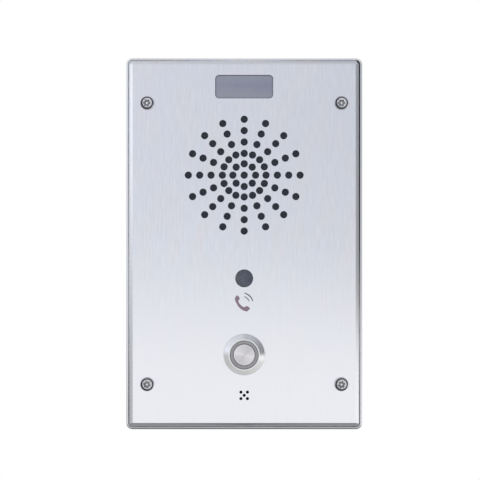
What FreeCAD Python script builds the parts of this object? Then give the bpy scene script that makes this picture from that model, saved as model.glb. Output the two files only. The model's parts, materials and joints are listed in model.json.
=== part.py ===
import FreeCAD, Part
import math
import os
import re

import Sketcher
from FreeCAD import Placement, Rotation, Vector

# Video door intercom panel: a shallow stainless box for a wall or a door post. Its front plate
# carries the loudspeaker, the camera, the light, the call button, the microphone and the board.
#
# Millimetres. Every piece is drawn lying on its back, with x across the panel, y up the panel and
# z out of the wall. Its Placement then stands it up: X to the viewer's right, Z up, front towards -Y.
# The origin lies on the wall, behind the middle of the panel.

SIZES = (
    ("panel_width", 127.3, "box, outside width"),
    ("band_wall", 1.2, "box, sheet of the folded band"),
    ("band_corner", 3.5, "box, outside corner radius"),
    ("rim_gap", 0.7, "open line between the rim and the plate"),
    ("foot_height", 2.0, "embossed feet that stand the box off the wall"),
    ("foot_radius", 9.0, "embossed feet, radius"),
    ("rear_sheet", 1.2, "rear panel, sheet"),
    ("wall_hole_radius", 2.5, "wall fixing holes, radius"),
    ("wall_hole_side", 22.15, "wall fixing holes, from the box's side"),
    ("wall_hole_end", 20.0, "wall fixing holes, from the box's end"),
    ("wiring_depth", 14.8, "rear panel to board, room for the wiring"),
    ("cable_hole", 7.0, "cable entry in the rear panel, radius"),
    ("cable_hole_end", 40.0, "cable entry, from the box's top end"),
    ("cable_bore", 5.0, "grommet, bore radius"),
    ("grommet_lip", 2.0, "grommet, how far its lips reach past the hole"),
    ("grommet_lip_height", 1.4, "grommet, thickness of a lip"),
    ("earth_stud_radius", 2.0, "earth stud, radius"),
    ("earth_stud_length", 12.0, "earth stud, length"),
    ("earth_stud_base", 3.2, "earth stud, radius of its welded base"),
    ("earth_stud_base_height", 0.8, "earth stud, height of its welded base"),
    ("earth_stud_side", 14.0, "earth stud, from the box's side"),
    ("earth_stud_end", 30.0, "earth stud, from the box's top end"),
    ("plate_thickness", 3.0, "front plate"),
    ("plate_bevel", 1.9, "front plate, bevel of its front edge"),
    ("bevel_land", 0.1, "front plate, corner radius left inside the bevel"),
    ("seal_thickness", 1.5, "seal between plate and box"),
    ("seal_setback", 0.5, "seal, from the plate's edge"),
    ("frame_thickness", 2.0, "seat frame, sheet"),
    ("frame_corner", 3.0, "seat frame, corner radius of its opening"),
    ("frame_land", 1.65, "seat frame, width left inside the press nuts"),
    ("screw_side", 11.55, "plate screws, from the box's side"),
    ("screw_end", 24.6, "plate screws, from the box's end"),
    ("screw_radius", 2.0, "plate screws, radius of the shank"),
    ("screw_length", 12.0, "plate screws, length under the head"),
    ("screw_play", 0.25, "plate screws, play in the plate"),
    ("screw_head", 3.75, "plate screws, radius of the head"),
    ("screw_head_height", 2.1, "plate screws, height of the head"),
    ("screw_head_edge", 0.35, "plate screws, straight edge under the dome"),
    ("screw_head_flat", 2.7, "plate screws, radius of the flat on the dome"),
    ("screw_dome", 2.6, "plate screws, radius of the dome's curve"),
    ("socket_core", 1.4, "star socket, radius of its middle"),
    ("socket_lobe", 0.42, "star socket, radius of a lobe"),
    ("socket_reach", 1.5, "star socket, radius of the circle of lobes"),
    ("socket_lobes", 6, "star socket, number of lobes"),
    ("socket_depth", 1.4, "star socket, depth"),
    ("socket_pin", 0.5, "star socket, radius of the pin"),
    ("press_nut_radius", 4.0, "press nuts, radius"),
    ("press_nut_height", 3.0, "press nuts, height under the frame"),
    ("press_nut_collar", 2.7, "press nuts, radius of the collar in the frame"),
    ("press_nut_collar_height", 1.4, "press nuts, height of the collar"),
    ("thread_gap", 0.05, "radial gap between a screw and its thread"),
    ("window_width", 31.0, "light window, opening"),
    ("window_height", 12.5, "light window, opening"),
    ("window_corner", 2.0, "light window, corner radius"),
    ("window_fit", 0.1, "light window, gap all round in its opening"),
    ("window_recess", 0.5, "light window, how far it lies below the plate's face"),
    ("window_lip", 2.2, "light window, how far its flange reaches past the opening"),
    ("window_flange", 1.0, "light window, thickness of the flange"),
    ("window_margin", 9.45, "light window's opening to the top end"),
    ("window_frame_gap", 0.25, "light window's flange to the seat frame"),
    ("light_seal", 0.8, "light window's seal, thickness"),
    ("light_seal_set", 0.4, "light window's seal, from the opening's edge"),
    ("light_board_width", 54.0, "light board"),
    ("light_board_height", 15.0, "light board"),
    ("light_board_drop", 8.0, "light board, below the plate"),
    ("light_hole_inset", 3.0, "light board, screws from its ends"),
    ("spacer_radius", 2.5, "light spacers, radius"),
    ("led_width", 3.5, "lamps on the light board"),
    ("led_height", 2.8, "lamps on the light board"),
    ("led_body", 1.6, "lamps, thickness of the body"),
    ("led_lens", 1.1, "lamps, radius of the lens"),
    ("led_lens_height", 0.6, "lamps, height of the lens"),
    ("led_pitch_across", 9.0, "lamps, pitch across"),
    ("led_pitch_up", 5.5, "lamps, pitch up"),
    ("light_speaker_gap", 0.55, "light window's flange to the loudspeaker"),
    ("small_screw", 1.25, "screws of camera and light board, radius"),
    ("small_screw_head", 2.3, "the same, radius of the head"),
    ("small_screw_head_height", 1.5, "the same, height of the head"),
    ("small_screw_grip", 4.5, "the same, length in the spacer"),
    ("hole_play", 0.15, "radial play of a screw in a board"),
    ("thread_rest", 0.8, "thread left open past a screw's end"),
    ("head_bevel", 0.4, "pan head screws, bevel of the head"),
    ("cross_width", 0.6, "pan head screws, width of the cross"),
    ("cross_depth", 0.8, "pan head screws, depth of the cross"),
    ("board_thickness", 1.6, "every circuit board"),
    ("board_corner", 1.5, "every circuit board, corner radius"),
    ("speaker_radius", 38.5, "loudspeaker, radius of the flange"),
    ("grille_hole", 1.85, "grille holes, radius"),
    ("grille_inner", 6.1, "grille, radius of the inner ring of eight"),
    ("grille_ray_start", 11.7, "grille, radius where the rays start"),
    ("grille_margin", 8.5, "grille, last hole of a ray inside the loudspeaker's edge"),
    ("grille_rays", 16, "grille, number of rays"),
    ("grille_ray_holes", 4, "grille, number of holes in a ray"),
    ("mesh_thickness", 0.4, "dust mesh behind the grille"),
    ("speaker_seal", 3.0, "loudspeaker's foam ring, height"),
    ("speaker_seal_width", 2.0, "loudspeaker's foam ring, width"),
    ("basket_sheet", 1.0, "basket, sheet"),
    ("basket_flange", 4.0, "basket, width of its flange"),
    ("basket_depth", 10.5, "basket, depth inside"),
    ("basket_floor", 20.0, "basket, radius of the floor"),
    ("basket_hole", 12.0, "basket, radius of the hole in the floor"),
    ("shelf_height", 2.0, "basket, the spider's shelf above the floor"),
    ("shelf_width", 2.8, "basket, width of the spider's shelf"),
    ("basket_window_rim", 2.35, "basket, wall left inside and outside its windows"),
    ("basket_window_round", 20.0, "basket, length of its windows round the wall"),
    ("basket_window_corner", 2.0, "basket, corner radius of the windows"),
    ("basket_windows", 4, "basket, number of windows"),
    ("gap_plate_radius", 20.0, "top plate, radius"),
    ("gap_plate_hole", 10.6, "top plate, radius of the hole"),
    ("gap_plate_height", 2.5, "top plate, thickness"),
    ("magnet_radius", 22.5, "magnet, radius"),
    ("magnet_hole", 13.0, "magnet, radius of the hole"),
    ("magnet_height", 6.5, "magnet, thickness"),
    ("yoke_height", 2.5, "yoke, thickness of the plate"),
    ("pole_radius", 9.2, "yoke, radius of the pole"),
    ("coil_former", 10.0, "voice coil's former, outer radius"),
    ("coil_former_wall", 0.4, "voice coil's former, wall"),
    ("coil_winding", 0.25, "voice coil, thickness of the winding"),
    ("coil_height", 3.8, "voice coil, height of the winding"),
    ("coil_reach", 3.1, "voice coil, how far it reaches below the floor of the basket"),
    ("former_rise", 1.0, "voice coil's former, above the foot of the cone"),
    ("cone_paper", 0.5, "cone, thickness"),
    ("cone_rim", 1.6, "cone, width of the flat rim"),
    ("cone_fall", 6.5, "cone, depth from rim to neck"),
    ("surround_width", 5.5, "surround, width of the roll between cone and basket"),
    ("surround_rubber", 0.4, "surround, thickness"),
    ("surround_rise", 1.4, "surround, height of the roll"),
    ("surround_land", 1.8, "surround, width of its outer land"),
    ("cap_radius", 12.0, "dust cap, radius"),
    ("cap_rise", 4.0, "dust cap, height of the dome"),
    ("cap_wall", 0.4, "dust cap, thickness"),
    ("spider_cloth", 0.3, "spider, thickness"),
    ("spider_wave", 0.4, "spider, height of a wave"),
    ("spider_folds", 8, "spider, number of folds"),
    ("spider_set", 0.2, "spider, from the side of its shelf"),
    ("lug_width", 3.0, "loudspeaker's lugs"),
    ("lug_length", 6.0, "loudspeaker's lugs"),
    ("lug_sheet", 0.5, "loudspeaker's lugs"),
    ("lug_pitch", 8.0, "loudspeaker's lugs"),
    ("lug_strip_width", 14.0, "strip that holds the lugs"),
    ("lug_strip_set", 0.2, "strip that holds the lugs, from the flange's edge"),
    ("stud_clearance", 3.0, "loudspeaker's studs, outside its flange"),
    ("stud_count", 4, "loudspeaker's studs, number"),
    ("stud_radius", 1.5, "loudspeaker's studs, radius"),
    ("stud_length", 8.8, "loudspeaker's studs, length"),
    ("stud_base", 2.0, "loudspeaker's studs, radius of the welded base"),
    ("stud_base_height", 0.6, "loudspeaker's studs, height of the welded base"),
    ("clamp_width", 8.0, "loudspeaker's clamps, width"),
    ("clamp_outside", 6.5, "loudspeaker's clamps, outside its flange"),
    ("clamp_overlap", 2.5, "loudspeaker's clamps, hold on the flange"),
    ("clamp_sheet", 1.0, "loudspeaker's clamps, sheet"),
    ("clamp_nut_flats", 5.5, "loudspeaker's nuts, across flats"),
    ("clamp_nut_height", 2.4, "loudspeaker's nuts, height"),
    ("speaker_camera_gap", 1.9, "loudspeaker to camera board"),
    ("camera_hole", 4.75, "camera opening in the plate, radius"),
    ("camera_fit", 0.1, "camera window, gap all round in its opening"),
    ("camera_recess", 0.3, "camera window, how far it lies below the plate's face"),
    ("camera_lip", 1.85, "camera window, how far its flange reaches past the opening"),
    ("camera_flange", 1.0, "camera window, thickness of the flange"),
    ("lens_gap", 0.3, "camera window to lens barrel"),
    ("barrel_radius", 6.0, "lens barrel, radius"),
    ("barrel_length", 10.7, "lens barrel, length"),
    ("barrel_bore", 2.35, "lens barrel, bore radius"),
    ("barrel_mouth", 4.6, "lens barrel, radius of the dished front"),
    ("barrel_dish", 1.4, "lens barrel, depth of the dished front"),
    ("lens_fit", 0.05, "front lens, gap all round in the barrel"),
    ("lens_edge", 1.3, "front lens, thickness at its edge"),
    ("lens_dome", 0.6, "front lens, rise of the dome"),
    ("lens_set", 0.2, "front lens, below the foot of the dish"),
    ("holder_side", 16.0, "lens holder, side of the square foot"),
    ("holder_corner", 1.0, "lens holder, corner radius of the foot"),
    ("holder_foot", 3.0, "lens holder, height of the foot"),
    ("holder_wall", 1.6, "lens holder, wall round the barrel"),
    ("holder_height", 10.0, "lens holder, height"),
    ("sensor_width", 7.0, "image sensor"),
    ("sensor_height", 6.0, "image sensor"),
    ("sensor_thickness", 1.2, "image sensor"),
    ("camera_board_side", 30.0, "camera board, side"),
    ("camera_board_drop", 18.4, "camera board, below the plate"),
    ("camera_hole_inset", 2.5, "camera board, screws from its edges"),
    ("post_flats", 4.5, "camera's standoffs, across flats"),
    ("ribbon_width", 10.0, "camera ribbon"),
    ("ribbon_thickness", 0.3, "camera ribbon"),
    ("ribbon_straight", 6.0, "camera ribbon, from a socket to the bend"),
    ("ribbon_socket_width", 13.0, "ribbon sockets"),
    ("ribbon_socket_length", 4.5, "ribbon sockets"),
    ("ribbon_socket_height", 1.8, "ribbon sockets"),
    ("ribbon_place", 4.0, "ribbon sockets, above the middle of the camera"),
    ("symbol_space", 13.2, "camera board to button nut, the pictogram's place"),
    ("button_thread", 9.4, "button housing, radius of the thread"),
    ("button_hole_play", 0.2, "button housing, play in the plate"),
    ("button_flange", 11.0, "button housing, radius of the flange"),
    ("button_flange_edge", 0.5, "button housing, straight edge of the flange"),
    ("button_bevel_inner", 8.35, "button housing, radius inside the bevel"),
    ("button_bevel_rise", 1.3, "button housing, rise of the bevel"),
    ("button_lip", 0.65, "button housing, width of the lip inside the bevel"),
    ("button_length", 16.0, "button housing, length behind the plate's face"),
    ("button_wall", 1.2, "button housing, wall of the rear end"),
    ("button_step", 1.6, "button housing, the light ring's seat below the plate's face"),
    ("button_guide", 3.4, "button housing, length of the guide"),
    ("button_seal_height", 0.6, "button seal, thickness"),
    ("button_seal_width", 0.9, "button seal, width"),
    ("button_seal_set", 0.3, "button seal, from the thread"),
    ("nut_flats", 22.0, "button nut, across flats"),
    ("nut_height", 3.0, "button nut, height"),
    ("ring_fit", 0.05, "light ring, gap all round in the housing"),
    ("ring_recess", 0.15, "light ring, below the lip"),
    ("ring_round", 0.25, "light ring, rounded edge"),
    ("actuator_radius", 5.65, "actuator, radius"),
    ("actuator_play", 0.1, "actuator, gap all round in the guide"),
    ("actuator_edge", 0.3, "actuator, bevelled edge"),
    ("actuator_collar", 7.4, "actuator, radius of the collar"),
    ("actuator_collar_height", 3.0, "actuator, height of the collar"),
    ("actuator_rest_gap", 0.05, "actuator, collar to its stop at rest"),
    ("button_travel", 1.5, "actuator, travel"),
    ("stem_radius", 2.0, "actuator's stem, radius"),
    ("stem_length", 4.8, "actuator's stem, length under the collar"),
    ("stem_play", 0.4, "actuator's stem, gap all round in the block"),
    ("spring_wire", 0.35, "return spring, radius of the wire"),
    ("spring_radius", 4.2, "return spring, mean radius"),
    ("spring_turns", 4, "return spring, number of turns"),
    ("spring_end_gap", 0.05, "return spring, gap at each end"),
    ("spring_room", 5.45, "collar to block, room for the spring"),
    ("block_play", 0.2, "contact block, gap all round in the housing"),
    ("block_flange", 1.5, "contact block, thickness of the flange"),
    ("block_tail", 4.5, "contact block, length behind its flange"),
    ("block_well", 3.5, "contact block, depth of the stem's well"),
    ("blade_width", 2.0, "contact blades"),
    ("blade_sheet", 0.5, "contact blades"),
    ("blade_length", 4.5, "contact blades"),
    ("blade_pitch", 6.0, "contact blades, pitch of their two rows"),
    ("button_mic_gap", 3.2, "button nut to microphone boot"),
    ("mic_hole", 0.8, "microphone holes, radius"),
    ("mic_hole_pitch", 3.48, "microphone holes, side of their square"),
    ("mic_boot_radius", 6.0, "microphone boot, radius"),
    ("mic_boot_height", 6.6, "microphone boot, height"),
    ("mic_boot_floor", 1.0, "microphone boot, floor"),
    ("mic_radius", 4.8, "microphone capsule, radius"),
    ("mic_fit", 0.05, "microphone capsule, gap all round in the boot"),
    ("mic_front_room", 1.0, "microphone capsule, below the plate"),
    ("mic_felt", 3.6, "microphone capsule, radius of the felt"),
    ("mic_felt_depth", 0.2, "microphone capsule, depth of the felt"),
    ("mic_margin", 12.6, "microphone boot to the bottom end"),
    ("standoff_length", 27.4, "plate to board"),
    ("standoff_flats", 5.5, "main standoffs, across flats"),
    ("board_side_gap", 2.45, "board to the frame's opening, at the sides"),
    ("board_end_gap", 1.0, "board to the frame's opening, at the bottom"),
    ("board_speaker_gap", 0.3, "board to the magnet, seen from the front"),
    ("board_hole_inset", 4.0, "board, screws from its sides and from its bottom edge"),
    ("board_hole_drop", 30.0, "board, upper screws from its top edge, below the sockets and the clamps"),
    ("board_screw", 1.5, "board screws, radius"),
    ("board_screw_head", 2.75, "board screws, radius of the head"),
    ("board_screw_head_height", 2.0, "board screws, height of the head"),
    ("board_screw_grip", 5.0, "board screws, length in the standoff"),
    ("jack_width", 16.0, "network socket"),
    ("jack_length", 21.0, "network socket"),
    ("jack_height", 13.4, "network socket"),
    ("jack_inset", 24.0, "network socket, from the board's right edge"),
    ("port_width", 11.8, "network socket, opening"),
    ("port_height", 8.2, "network socket, opening"),
    ("port_depth", 14.0, "network socket, opening"),
    ("port_wall", 2.0, "network socket, wall on the board's side"),
    ("latch_width", 6.0, "network socket, slot of the latch"),
    ("latch_height", 2.0, "network socket, slot of the latch"),
    ("terminal_pitch", 3.5, "terminal block, pitch"),
    ("terminal_ways", 8, "terminal block, number of ways"),
    ("terminal_length", 9.0, "terminal block, length along the board"),
    ("terminal_height", 10.0, "terminal block, height"),
    ("terminal_inset", 22.0, "terminal block, from the board's left edge"),
    ("terminal_mouth", 2.4, "terminal block, side of a wire's hole"),
    ("terminal_mouth_depth", 6.0, "terminal block, depth of a wire's hole"),
    ("terminal_well", 1.45, "terminal block, radius of a screw's well"),
    ("terminal_well_depth", 3.0, "terminal block, depth of a screw's well"),
    ("terminal_screw_fit", 0.1, "terminal screws, gap all round in the well"),
    ("terminal_screw_height", 2.2, "terminal screws, height"),
    ("terminal_slot", 0.6, "terminal screws, width of the slot"),
    ("chip_side", 14.0, "processor, side"),
    ("chip_thickness", 1.4, "processor, thickness"),
    ("sink_camera_gap", 3.0, "heat sink, right of the camera board"),
    ("chip_drop", 45.0, "processor, below the board's top edge"),
    ("codec_side", 7.0, "sound chip, side"),
    ("codec_drop", 24.0, "sound chip, above the processor"),
    ("isolator_width", 12.7, "network transformer"),
    ("isolator_length", 7.0, "network transformer"),
    ("isolator_height", 5.5, "network transformer"),
    ("isolator_drop", 36.0, "network transformer, below the processor"),
    ("sink_side", 20.0, "heat sink, side"),
    ("sink_base", 2.0, "heat sink, base"),
    ("sink_fin", 0.9, "heat sink, thickness of a fin"),
    ("sink_fin_height", 6.0, "heat sink, height of a fin"),
    ("sink_fins", 7, "heat sink, number of fins"),
    ("capacitor_radius", 4.0, "capacitors, radius"),
    ("capacitor_height", 12.0, "capacitors, height"),
    ("capacitor_pitch", 13.0, "capacitors, pitch"),
    ("capacitor_count", 3, "capacitors, number"),
    ("capacitor_inset", 14.0, "capacitors, from the board's left edge"),
    ("capacitor_drop", 72.0, "capacitors, lowest one below the board's top edge"),
    ("can_edge", 0.6, "capacitors, rounded edge of the can"),
    ("socket_width", 7.5, "lead sockets"),
    ("socket_length", 5.0, "lead sockets"),
    ("socket_height", 6.0, "lead sockets"),
    ("socket_wall", 0.8, "lead sockets, wall"),
    ("lead_radius", 0.6, "leads, radius"),
    ("lead_end_gap", 0.1, "leads, from the floor of a socket"),
    ("lead_rise", 4.0, "leads, straight rise above a socket"),
    ("lead_low_rise", 1.5, "button leads, straight rise above their socket"),
    ("lead_run", 7.0, "leads, straight run before what they serve"),
    ("lead_pitch", 2.0, "leads, pitch of a pair"),
    ("lead_bend_share", 0.45, "leads, share of the shorter run beside a bend that the bend takes"),
    ("light_lead_climb", 2.0, "light's leads, climb along the side of the loudspeaker"),
    ("top_socket_drop", 6.0, "lead sockets of loudspeaker and light, below the board's top edge"),
    ("speaker_socket_side", 12.0, "lead socket of the loudspeaker, left of the middle"),
    ("light_socket_side", 14.0, "lead socket of the light, from the board's right edge"),
    ("button_socket_side", 10.0, "lead socket of the button, left of the middle"),
    ("button_socket_drop", 16.0, "lead socket of the button, below the button"),
    ("mic_socket_side", 14.0, "lead socket of the microphone, right of the middle"),
)

# How near an edge must lie to a plane to count as lying in it, and how far the loudspeaker's fixings
# are turned, in degrees, so that they stand at the corners of a square.
EDGE_TOLERANCE = 0.01
FIXING_TURN = 45

# The number by which a sketch knows the centre of a circle.
CENTRE = 3

NAMES = {name for name, size, note in SIZES}
PIECES = []

doc = FreeCAD.newDocument("door_intercom")
sheet = doc.addObject("Spreadsheet::Sheet", "dims")
for line, (name, size, note) in enumerate(SIZES, start=1):
    sheet.set(f"A{line}", note)
    sheet.set(f"B{line}", str(size))
    sheet.setAlias(f"B{line}", name)
doc.recompute()

# Heights up the panel follow from what the plate carries, from the top end to the bottom end.

nut_reach = f"(nut_flats / 2 / {math.cos(math.radians(30)):.6f})"
window_to_speaker = "(window_height / 2 + window_lip + light_speaker_gap + speaker_radius)"
speaker_to_camera = "(speaker_radius + speaker_camera_gap + camera_board_side / 2)"
camera_to_button = f"(camera_board_side / 2 + symbol_space + {nut_reach})"
button_to_mic = f"({nut_reach} + button_mic_gap + mic_boot_radius)"
panel_height = (f"(window_margin + window_height / 2 + {window_to_speaker} + {speaker_to_camera}"
                f" + {camera_to_button} + {button_to_mic} + mic_boot_radius + mic_margin)")
window_up = f"({panel_height} / 2 - window_margin - window_height / 2)"
speaker_up = f"({window_up} - {window_to_speaker})"
camera_up = f"({speaker_up} - {speaker_to_camera})"
button_up = f"({camera_up} - {camera_to_button})"
mic_up = f"({button_up} - {button_to_mic})"

# Distances from the wall.

board_rear = "(foot_height + rear_sheet + wiring_depth)"
board_front = f"({board_rear} + board_thickness)"
plate_back = f"({board_front} + standoff_length)"
plate_front = f"({plate_back} + plate_thickness)"
band_front = f"({plate_front} - plate_bevel)"
frame_back = f"({plate_back} - seal_thickness - frame_thickness)"

# Widths and heights that follow from the box.

plate_width = "(panel_width - 2 * (band_wall + rim_gap))"
plate_height = f"({panel_height} - 2 * (band_wall + rim_gap))"
plate_corner = "(plate_bevel + bevel_land)"
inside_width = "(panel_width - 2 * band_wall)"
inside_height = f"({panel_height} - 2 * band_wall)"
inside_corner = "(band_corner - band_wall)"
frame_side = "(screw_side - band_wall + press_nut_radius + frame_land)"
opening_width = f"({inside_width} - 2 * {frame_side})"
opening_height = f"(2 * ({window_up} + window_height / 2 + window_lip + window_frame_gap))"
screws_across = "(panel_width - 2 * screw_side)"
screws_up = f"({panel_height} - 2 * screw_end)"
board_width = f"({opening_width} - 2 * board_side_gap)"
board_top = f"({speaker_up} - magnet_radius - board_speaker_gap)"
board_bottom = f"(board_end_gap - {opening_height} / 2)"
board_height = f"({board_top} - {board_bottom})"


# Formulas: names of sizes in a formula point at the sheet's cells

def formula(text):
    return re.sub(r"[a-z]\w*", lambda word: f"dims.{word[0]}" if word[0] in NAMES else word[0], str(text))


def worked_out(text):
    return float(sheet.evalExpression(formula(text)))


def bind(thing, setting, text):
    thing.setExpression(setting, formula(text))


# Drawings: a sketch on one of its body's own planes, every point of it held by a formula

def origin_feature(body, role):
    return next(feature for feature in body.Origin.OriginFeatures if feature.Role == role)


def arc_between(start, end, radius, turn):
    """The arc under half a circle from start to end that turns left (1) or right (-1)."""
    chord = end - start
    rise = math.sqrt(max(radius**2 - (chord.Length / 2)**2, 0))
    across = Vector(-chord.y, chord.x, 0).normalize()
    centre = (start + end) / 2 + across * rise * turn
    first, last = (start, end) if turn > 0 else (end, start)
    angles = [math.atan2(point.y - centre.y, point.x - centre.x) for point in (first, last)]
    return Part.ArcOfCircle(Part.Circle(centre, Vector(0, 0, 1), radius), *angles)


class Drawing:
    def __init__(self, body, name, plane="XY_Plane", x="0", y="0", z="0"):
        self.body = body
        self.sketch = body.newObject("Sketcher::SketchObject", f"{body.Name}_{name}")
        self.sketch.AttachmentSupport = [(origin_feature(body, plane), "")]
        self.sketch.MapMode = "FlatFace"
        for axis, place in zip("xyz", (x, y, z)):
            bind(self.sketch, f"AttachmentOffset.Base.{axis}", place)

    def rule(self, kind, *where):
        self.sketch.addConstraint(Sketcher.Constraint(kind, *where))

    def size(self, kind, where, text):
        number = self.sketch.addConstraint(Sketcher.Constraint(kind, *where, worked_out(text)))
        bind(self.sketch, f"Constraints[{number}]", text)

    def hold(self, edge, end, x, y):
        """Hold one point of an edge at x and y, measured from the drawing's origin."""
        for kind, axis, place in (("DistanceX", -2, x), ("DistanceY", -1, y)):
            if place == "0":
                self.rule("PointOnObject", edge, end, axis)
            else:
                self.size(kind, (-1, 1, edge, end), place)

    def circle(self, radius, x="0", y="0"):
        centre = Vector(worked_out(x), worked_out(y), 0)
        edge = self.sketch.addGeometry(Part.Circle(centre, Vector(0, 0, 1), worked_out(radius)))
        self.hold(edge, CENTRE, x, y)
        self.size("Radius", (edge,), radius)

    def four_circles(self, radius, across, up):
        """Circles at the corners of a rectangle that is centred on the drawing's origin."""
        for x in (f"-({across}) / 2", f"({across}) / 2"):
            for y in (f"-({up}) / 2", f"({up}) / 2"):
                self.circle(radius, x, y)

    def outline(self, points):
        """A closed outline. A point is (x, y), or (x, y, radius, turn) where an arc leaves it."""
        spots = [Vector(worked_out(point[0]), worked_out(point[1]), 0) for point in points]
        edges = []
        for number, point in enumerate(points):
            here = spots[number]
            there = spots[(number + 1) % len(spots)]
            if len(point) == 2:
                edge = self.sketch.addGeometry(Part.LineSegment(here, there))
                edges.append((edge, 1, 2))
            else:
                arc = arc_between(here, there, worked_out(point[2]), point[3])
                edge = self.sketch.addGeometry(arc)
                edges.append((edge, 1, 2) if point[3] > 0 else (edge, 2, 1))
                self.size("Radius", (edge,), point[2])
        for number, (edge, first, last) in enumerate(edges):
            following = edges[(number + 1) % len(edges)]
            self.rule("Coincident", edge, last, following[0], following[1])
            self.hold(edge, first, *points[number][:2])

    def rectangle(self, width, height, x="0", y="0"):
        left, right = f"{x} - ({width}) / 2", f"{x} + ({width}) / 2"
        low, high = f"{y} - ({height}) / 2", f"{y} + ({height}) / 2"
        self.outline([(left, low), (right, low), (right, high), (left, high)])

    def rounded_rectangle(self, width, height, corner):
        across, up = f"({width}) / 2", f"({height}) / 2"
        inner_across, inner_up = f"({across} - {corner})", f"({up} - {corner})"
        self.outline([
            (f"-{inner_across}", f"-({up})"), (inner_across, f"-({up})", corner, 1),
            (across, f"-{inner_up}"), (across, inner_up, corner, 1),
            (inner_across, up), (f"-{inner_across}", up, corner, 1),
            (f"-({across})", inner_up), (f"-({across})", f"-{inner_up}", corner, 1)])

    def hexagon(self, flats):
        """A hexagon with two of its flats level."""
        points = []
        for side in range(6):
            across = math.cos(math.radians(60 * side)) / math.cos(math.radians(30)) / 2
            up = math.sin(math.radians(60 * side)) / math.cos(math.radians(30)) / 2
            points.append((f"{across:.6f} * {flats}", f"{up:.6f} * {flats}" if side % 3 else "0"))
        self.outline(points)


# Features

def finished(body, feature):
    body.Tip = feature
    return feature


def pad(drawing, height):
    feature = drawing.body.newObject("PartDesign::Pad", f"{drawing.sketch.Name}_pad")
    feature.Profile = drawing.sketch
    bind(feature, "Length", height)
    return finished(drawing.body, feature)


def pocket(drawing, depth=None):
    """Cut from the drawing back towards the wall, right through where no depth is given."""
    feature = drawing.body.newObject("PartDesign::Pocket", f"{drawing.sketch.Name}_cut")
    feature.Profile = drawing.sketch
    if depth is None:
        feature.Type = "ThroughAll"
    else:
        bind(feature, "Length", depth)
    return finished(drawing.body, feature)


def turned(body, points, name="profile"):
    """A turned piece: the outline is given as (radius, z) and spun round the body's own z axis."""
    drawing = Drawing(body, name, plane="XZ_Plane")
    drawing.outline(points)
    feature = body.newObject("PartDesign::Revolution", f"{body.Name}_turned")
    feature.Profile = drawing.sketch
    feature.ReferenceAxis = (drawing.sketch, ["V_Axis"])
    feature.Angle = 360
    return finished(body, feature)


def polar(body, originals, count, axis=None):
    """Repeat features round an axis, or the whole piece where no features are given."""
    doc.recompute()
    feature = body.newObject("PartDesign::PolarPattern", f"{body.Name}_round")
    if originals:
        feature.Originals = originals
    else:
        feature.TransformMode = "Whole shape"
    feature.Axis = axis or (origin_feature(body, "Z_Axis"), [""])
    feature.Angle = 360
    bind(feature, "Occurrences", count)
    return finished(body, feature)


def row(body, axis, length, count="2", originals=None):
    """Repeat features along X_Axis or Y_Axis, or the whole piece where no features are given."""
    doc.recompute()
    feature = body.newObject("PartDesign::LinearPattern", f"{body.Name}_along_{axis[0]}")
    if originals:
        feature.Originals = originals
    else:
        feature.TransformMode = "Whole shape"
    feature.Direction = (origin_feature(body, axis), [""])
    bind(feature, "Length", length)
    bind(feature, "Occurrences", count)
    return finished(body, feature)


def four_corners(body, across, up):
    """Repeat the whole piece at the corners of a rectangle, from its lower left corner."""
    row(body, "X_Axis", across)
    row(body, "Y_Axis", up)


def bevel_front_edges(body, base, front, size):
    """Bevel every edge of a feature that lies in its front face, at z = front."""
    doc.recompute()
    level = worked_out(front)
    edges = [f"Edge{number}" for number, edge in enumerate(base.Shape.Edges, start=1)
             if math.isclose(edge.BoundBox.ZMin, level, abs_tol=EDGE_TOLERANCE)]
    feature = body.newObject("PartDesign::Chamfer", f"{body.Name}_bevel")
    feature.Base = (base, edges)
    bind(feature, "Size", size)
    return finished(body, feature)


def stand_up(thing, x, up, out, turn=0):
    upright = Rotation(Vector(1, 0, 0), 90)
    thing.Placement = Placement(Vector(), upright.multiply(Rotation(Vector(0, 0, 1), turn)))
    bind(thing, "Placement.Base.x", x)
    bind(thing, "Placement.Base.y", f"-({out})")
    bind(thing, "Placement.Base.z", up)
    PIECES.append(thing)


def piece(name, x="0", up="0", out="0", turn=0):
    """A new piece, whose own origin lies at x, at a height up the panel and a way out of the wall."""
    body = doc.addObject("PartDesign::Body", name)
    body.Label = name
    stand_up(body, x, up, out, turn)
    return body


# Box

def make_housing_band():
    body = piece("housing_band", out="foot_height")
    drawing = Drawing(body, "ring")
    drawing.rounded_rectangle("panel_width", panel_height, "band_corner")
    drawing.rounded_rectangle(inside_width, inside_height, inside_corner)
    pad(drawing, f"{band_front} - foot_height")


def make_rear_panel():
    body = piece("rear_panel", out="foot_height")
    drawing = Drawing(body, "sheet")
    drawing.rounded_rectangle(inside_width, inside_height, inside_corner)
    pad(drawing, "rear_sheet")
    across = "(panel_width - 2 * wall_hole_side)"
    up = f"({panel_height} - 2 * wall_hole_end)"
    feet = Drawing(body, "feet", z="-foot_height")
    feet.four_circles("foot_radius", across, up)
    pad(feet, "foot_height")
    dishes = Drawing(body, "dishes", z="rear_sheet")
    dishes.four_circles("foot_radius - rear_sheet", across, up)
    pocket(dishes, "foot_height")
    holes = Drawing(body, "wall_holes", z="rear_sheet")
    holes.four_circles("wall_hole_radius", across, up)
    pocket(holes)
    entry = Drawing(body, "cable_entry", z="rear_sheet")
    entry.circle("cable_hole", y=f"{panel_height} / 2 - cable_hole_end")
    pocket(entry)


def make_cable_grommet():
    body = piece("cable_grommet", up=f"{panel_height} / 2 - cable_hole_end", out="foot_height")
    lip = "cable_hole + grommet_lip"
    turned(body, [
        ("cable_bore", "-grommet_lip_height"), (lip, "-grommet_lip_height"), (lip, "0"),
        ("cable_hole", "0"), ("cable_hole", "rear_sheet"), (lip, "rear_sheet"),
        (lip, "rear_sheet + grommet_lip_height"), ("cable_bore", "rear_sheet + grommet_lip_height")])


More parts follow.
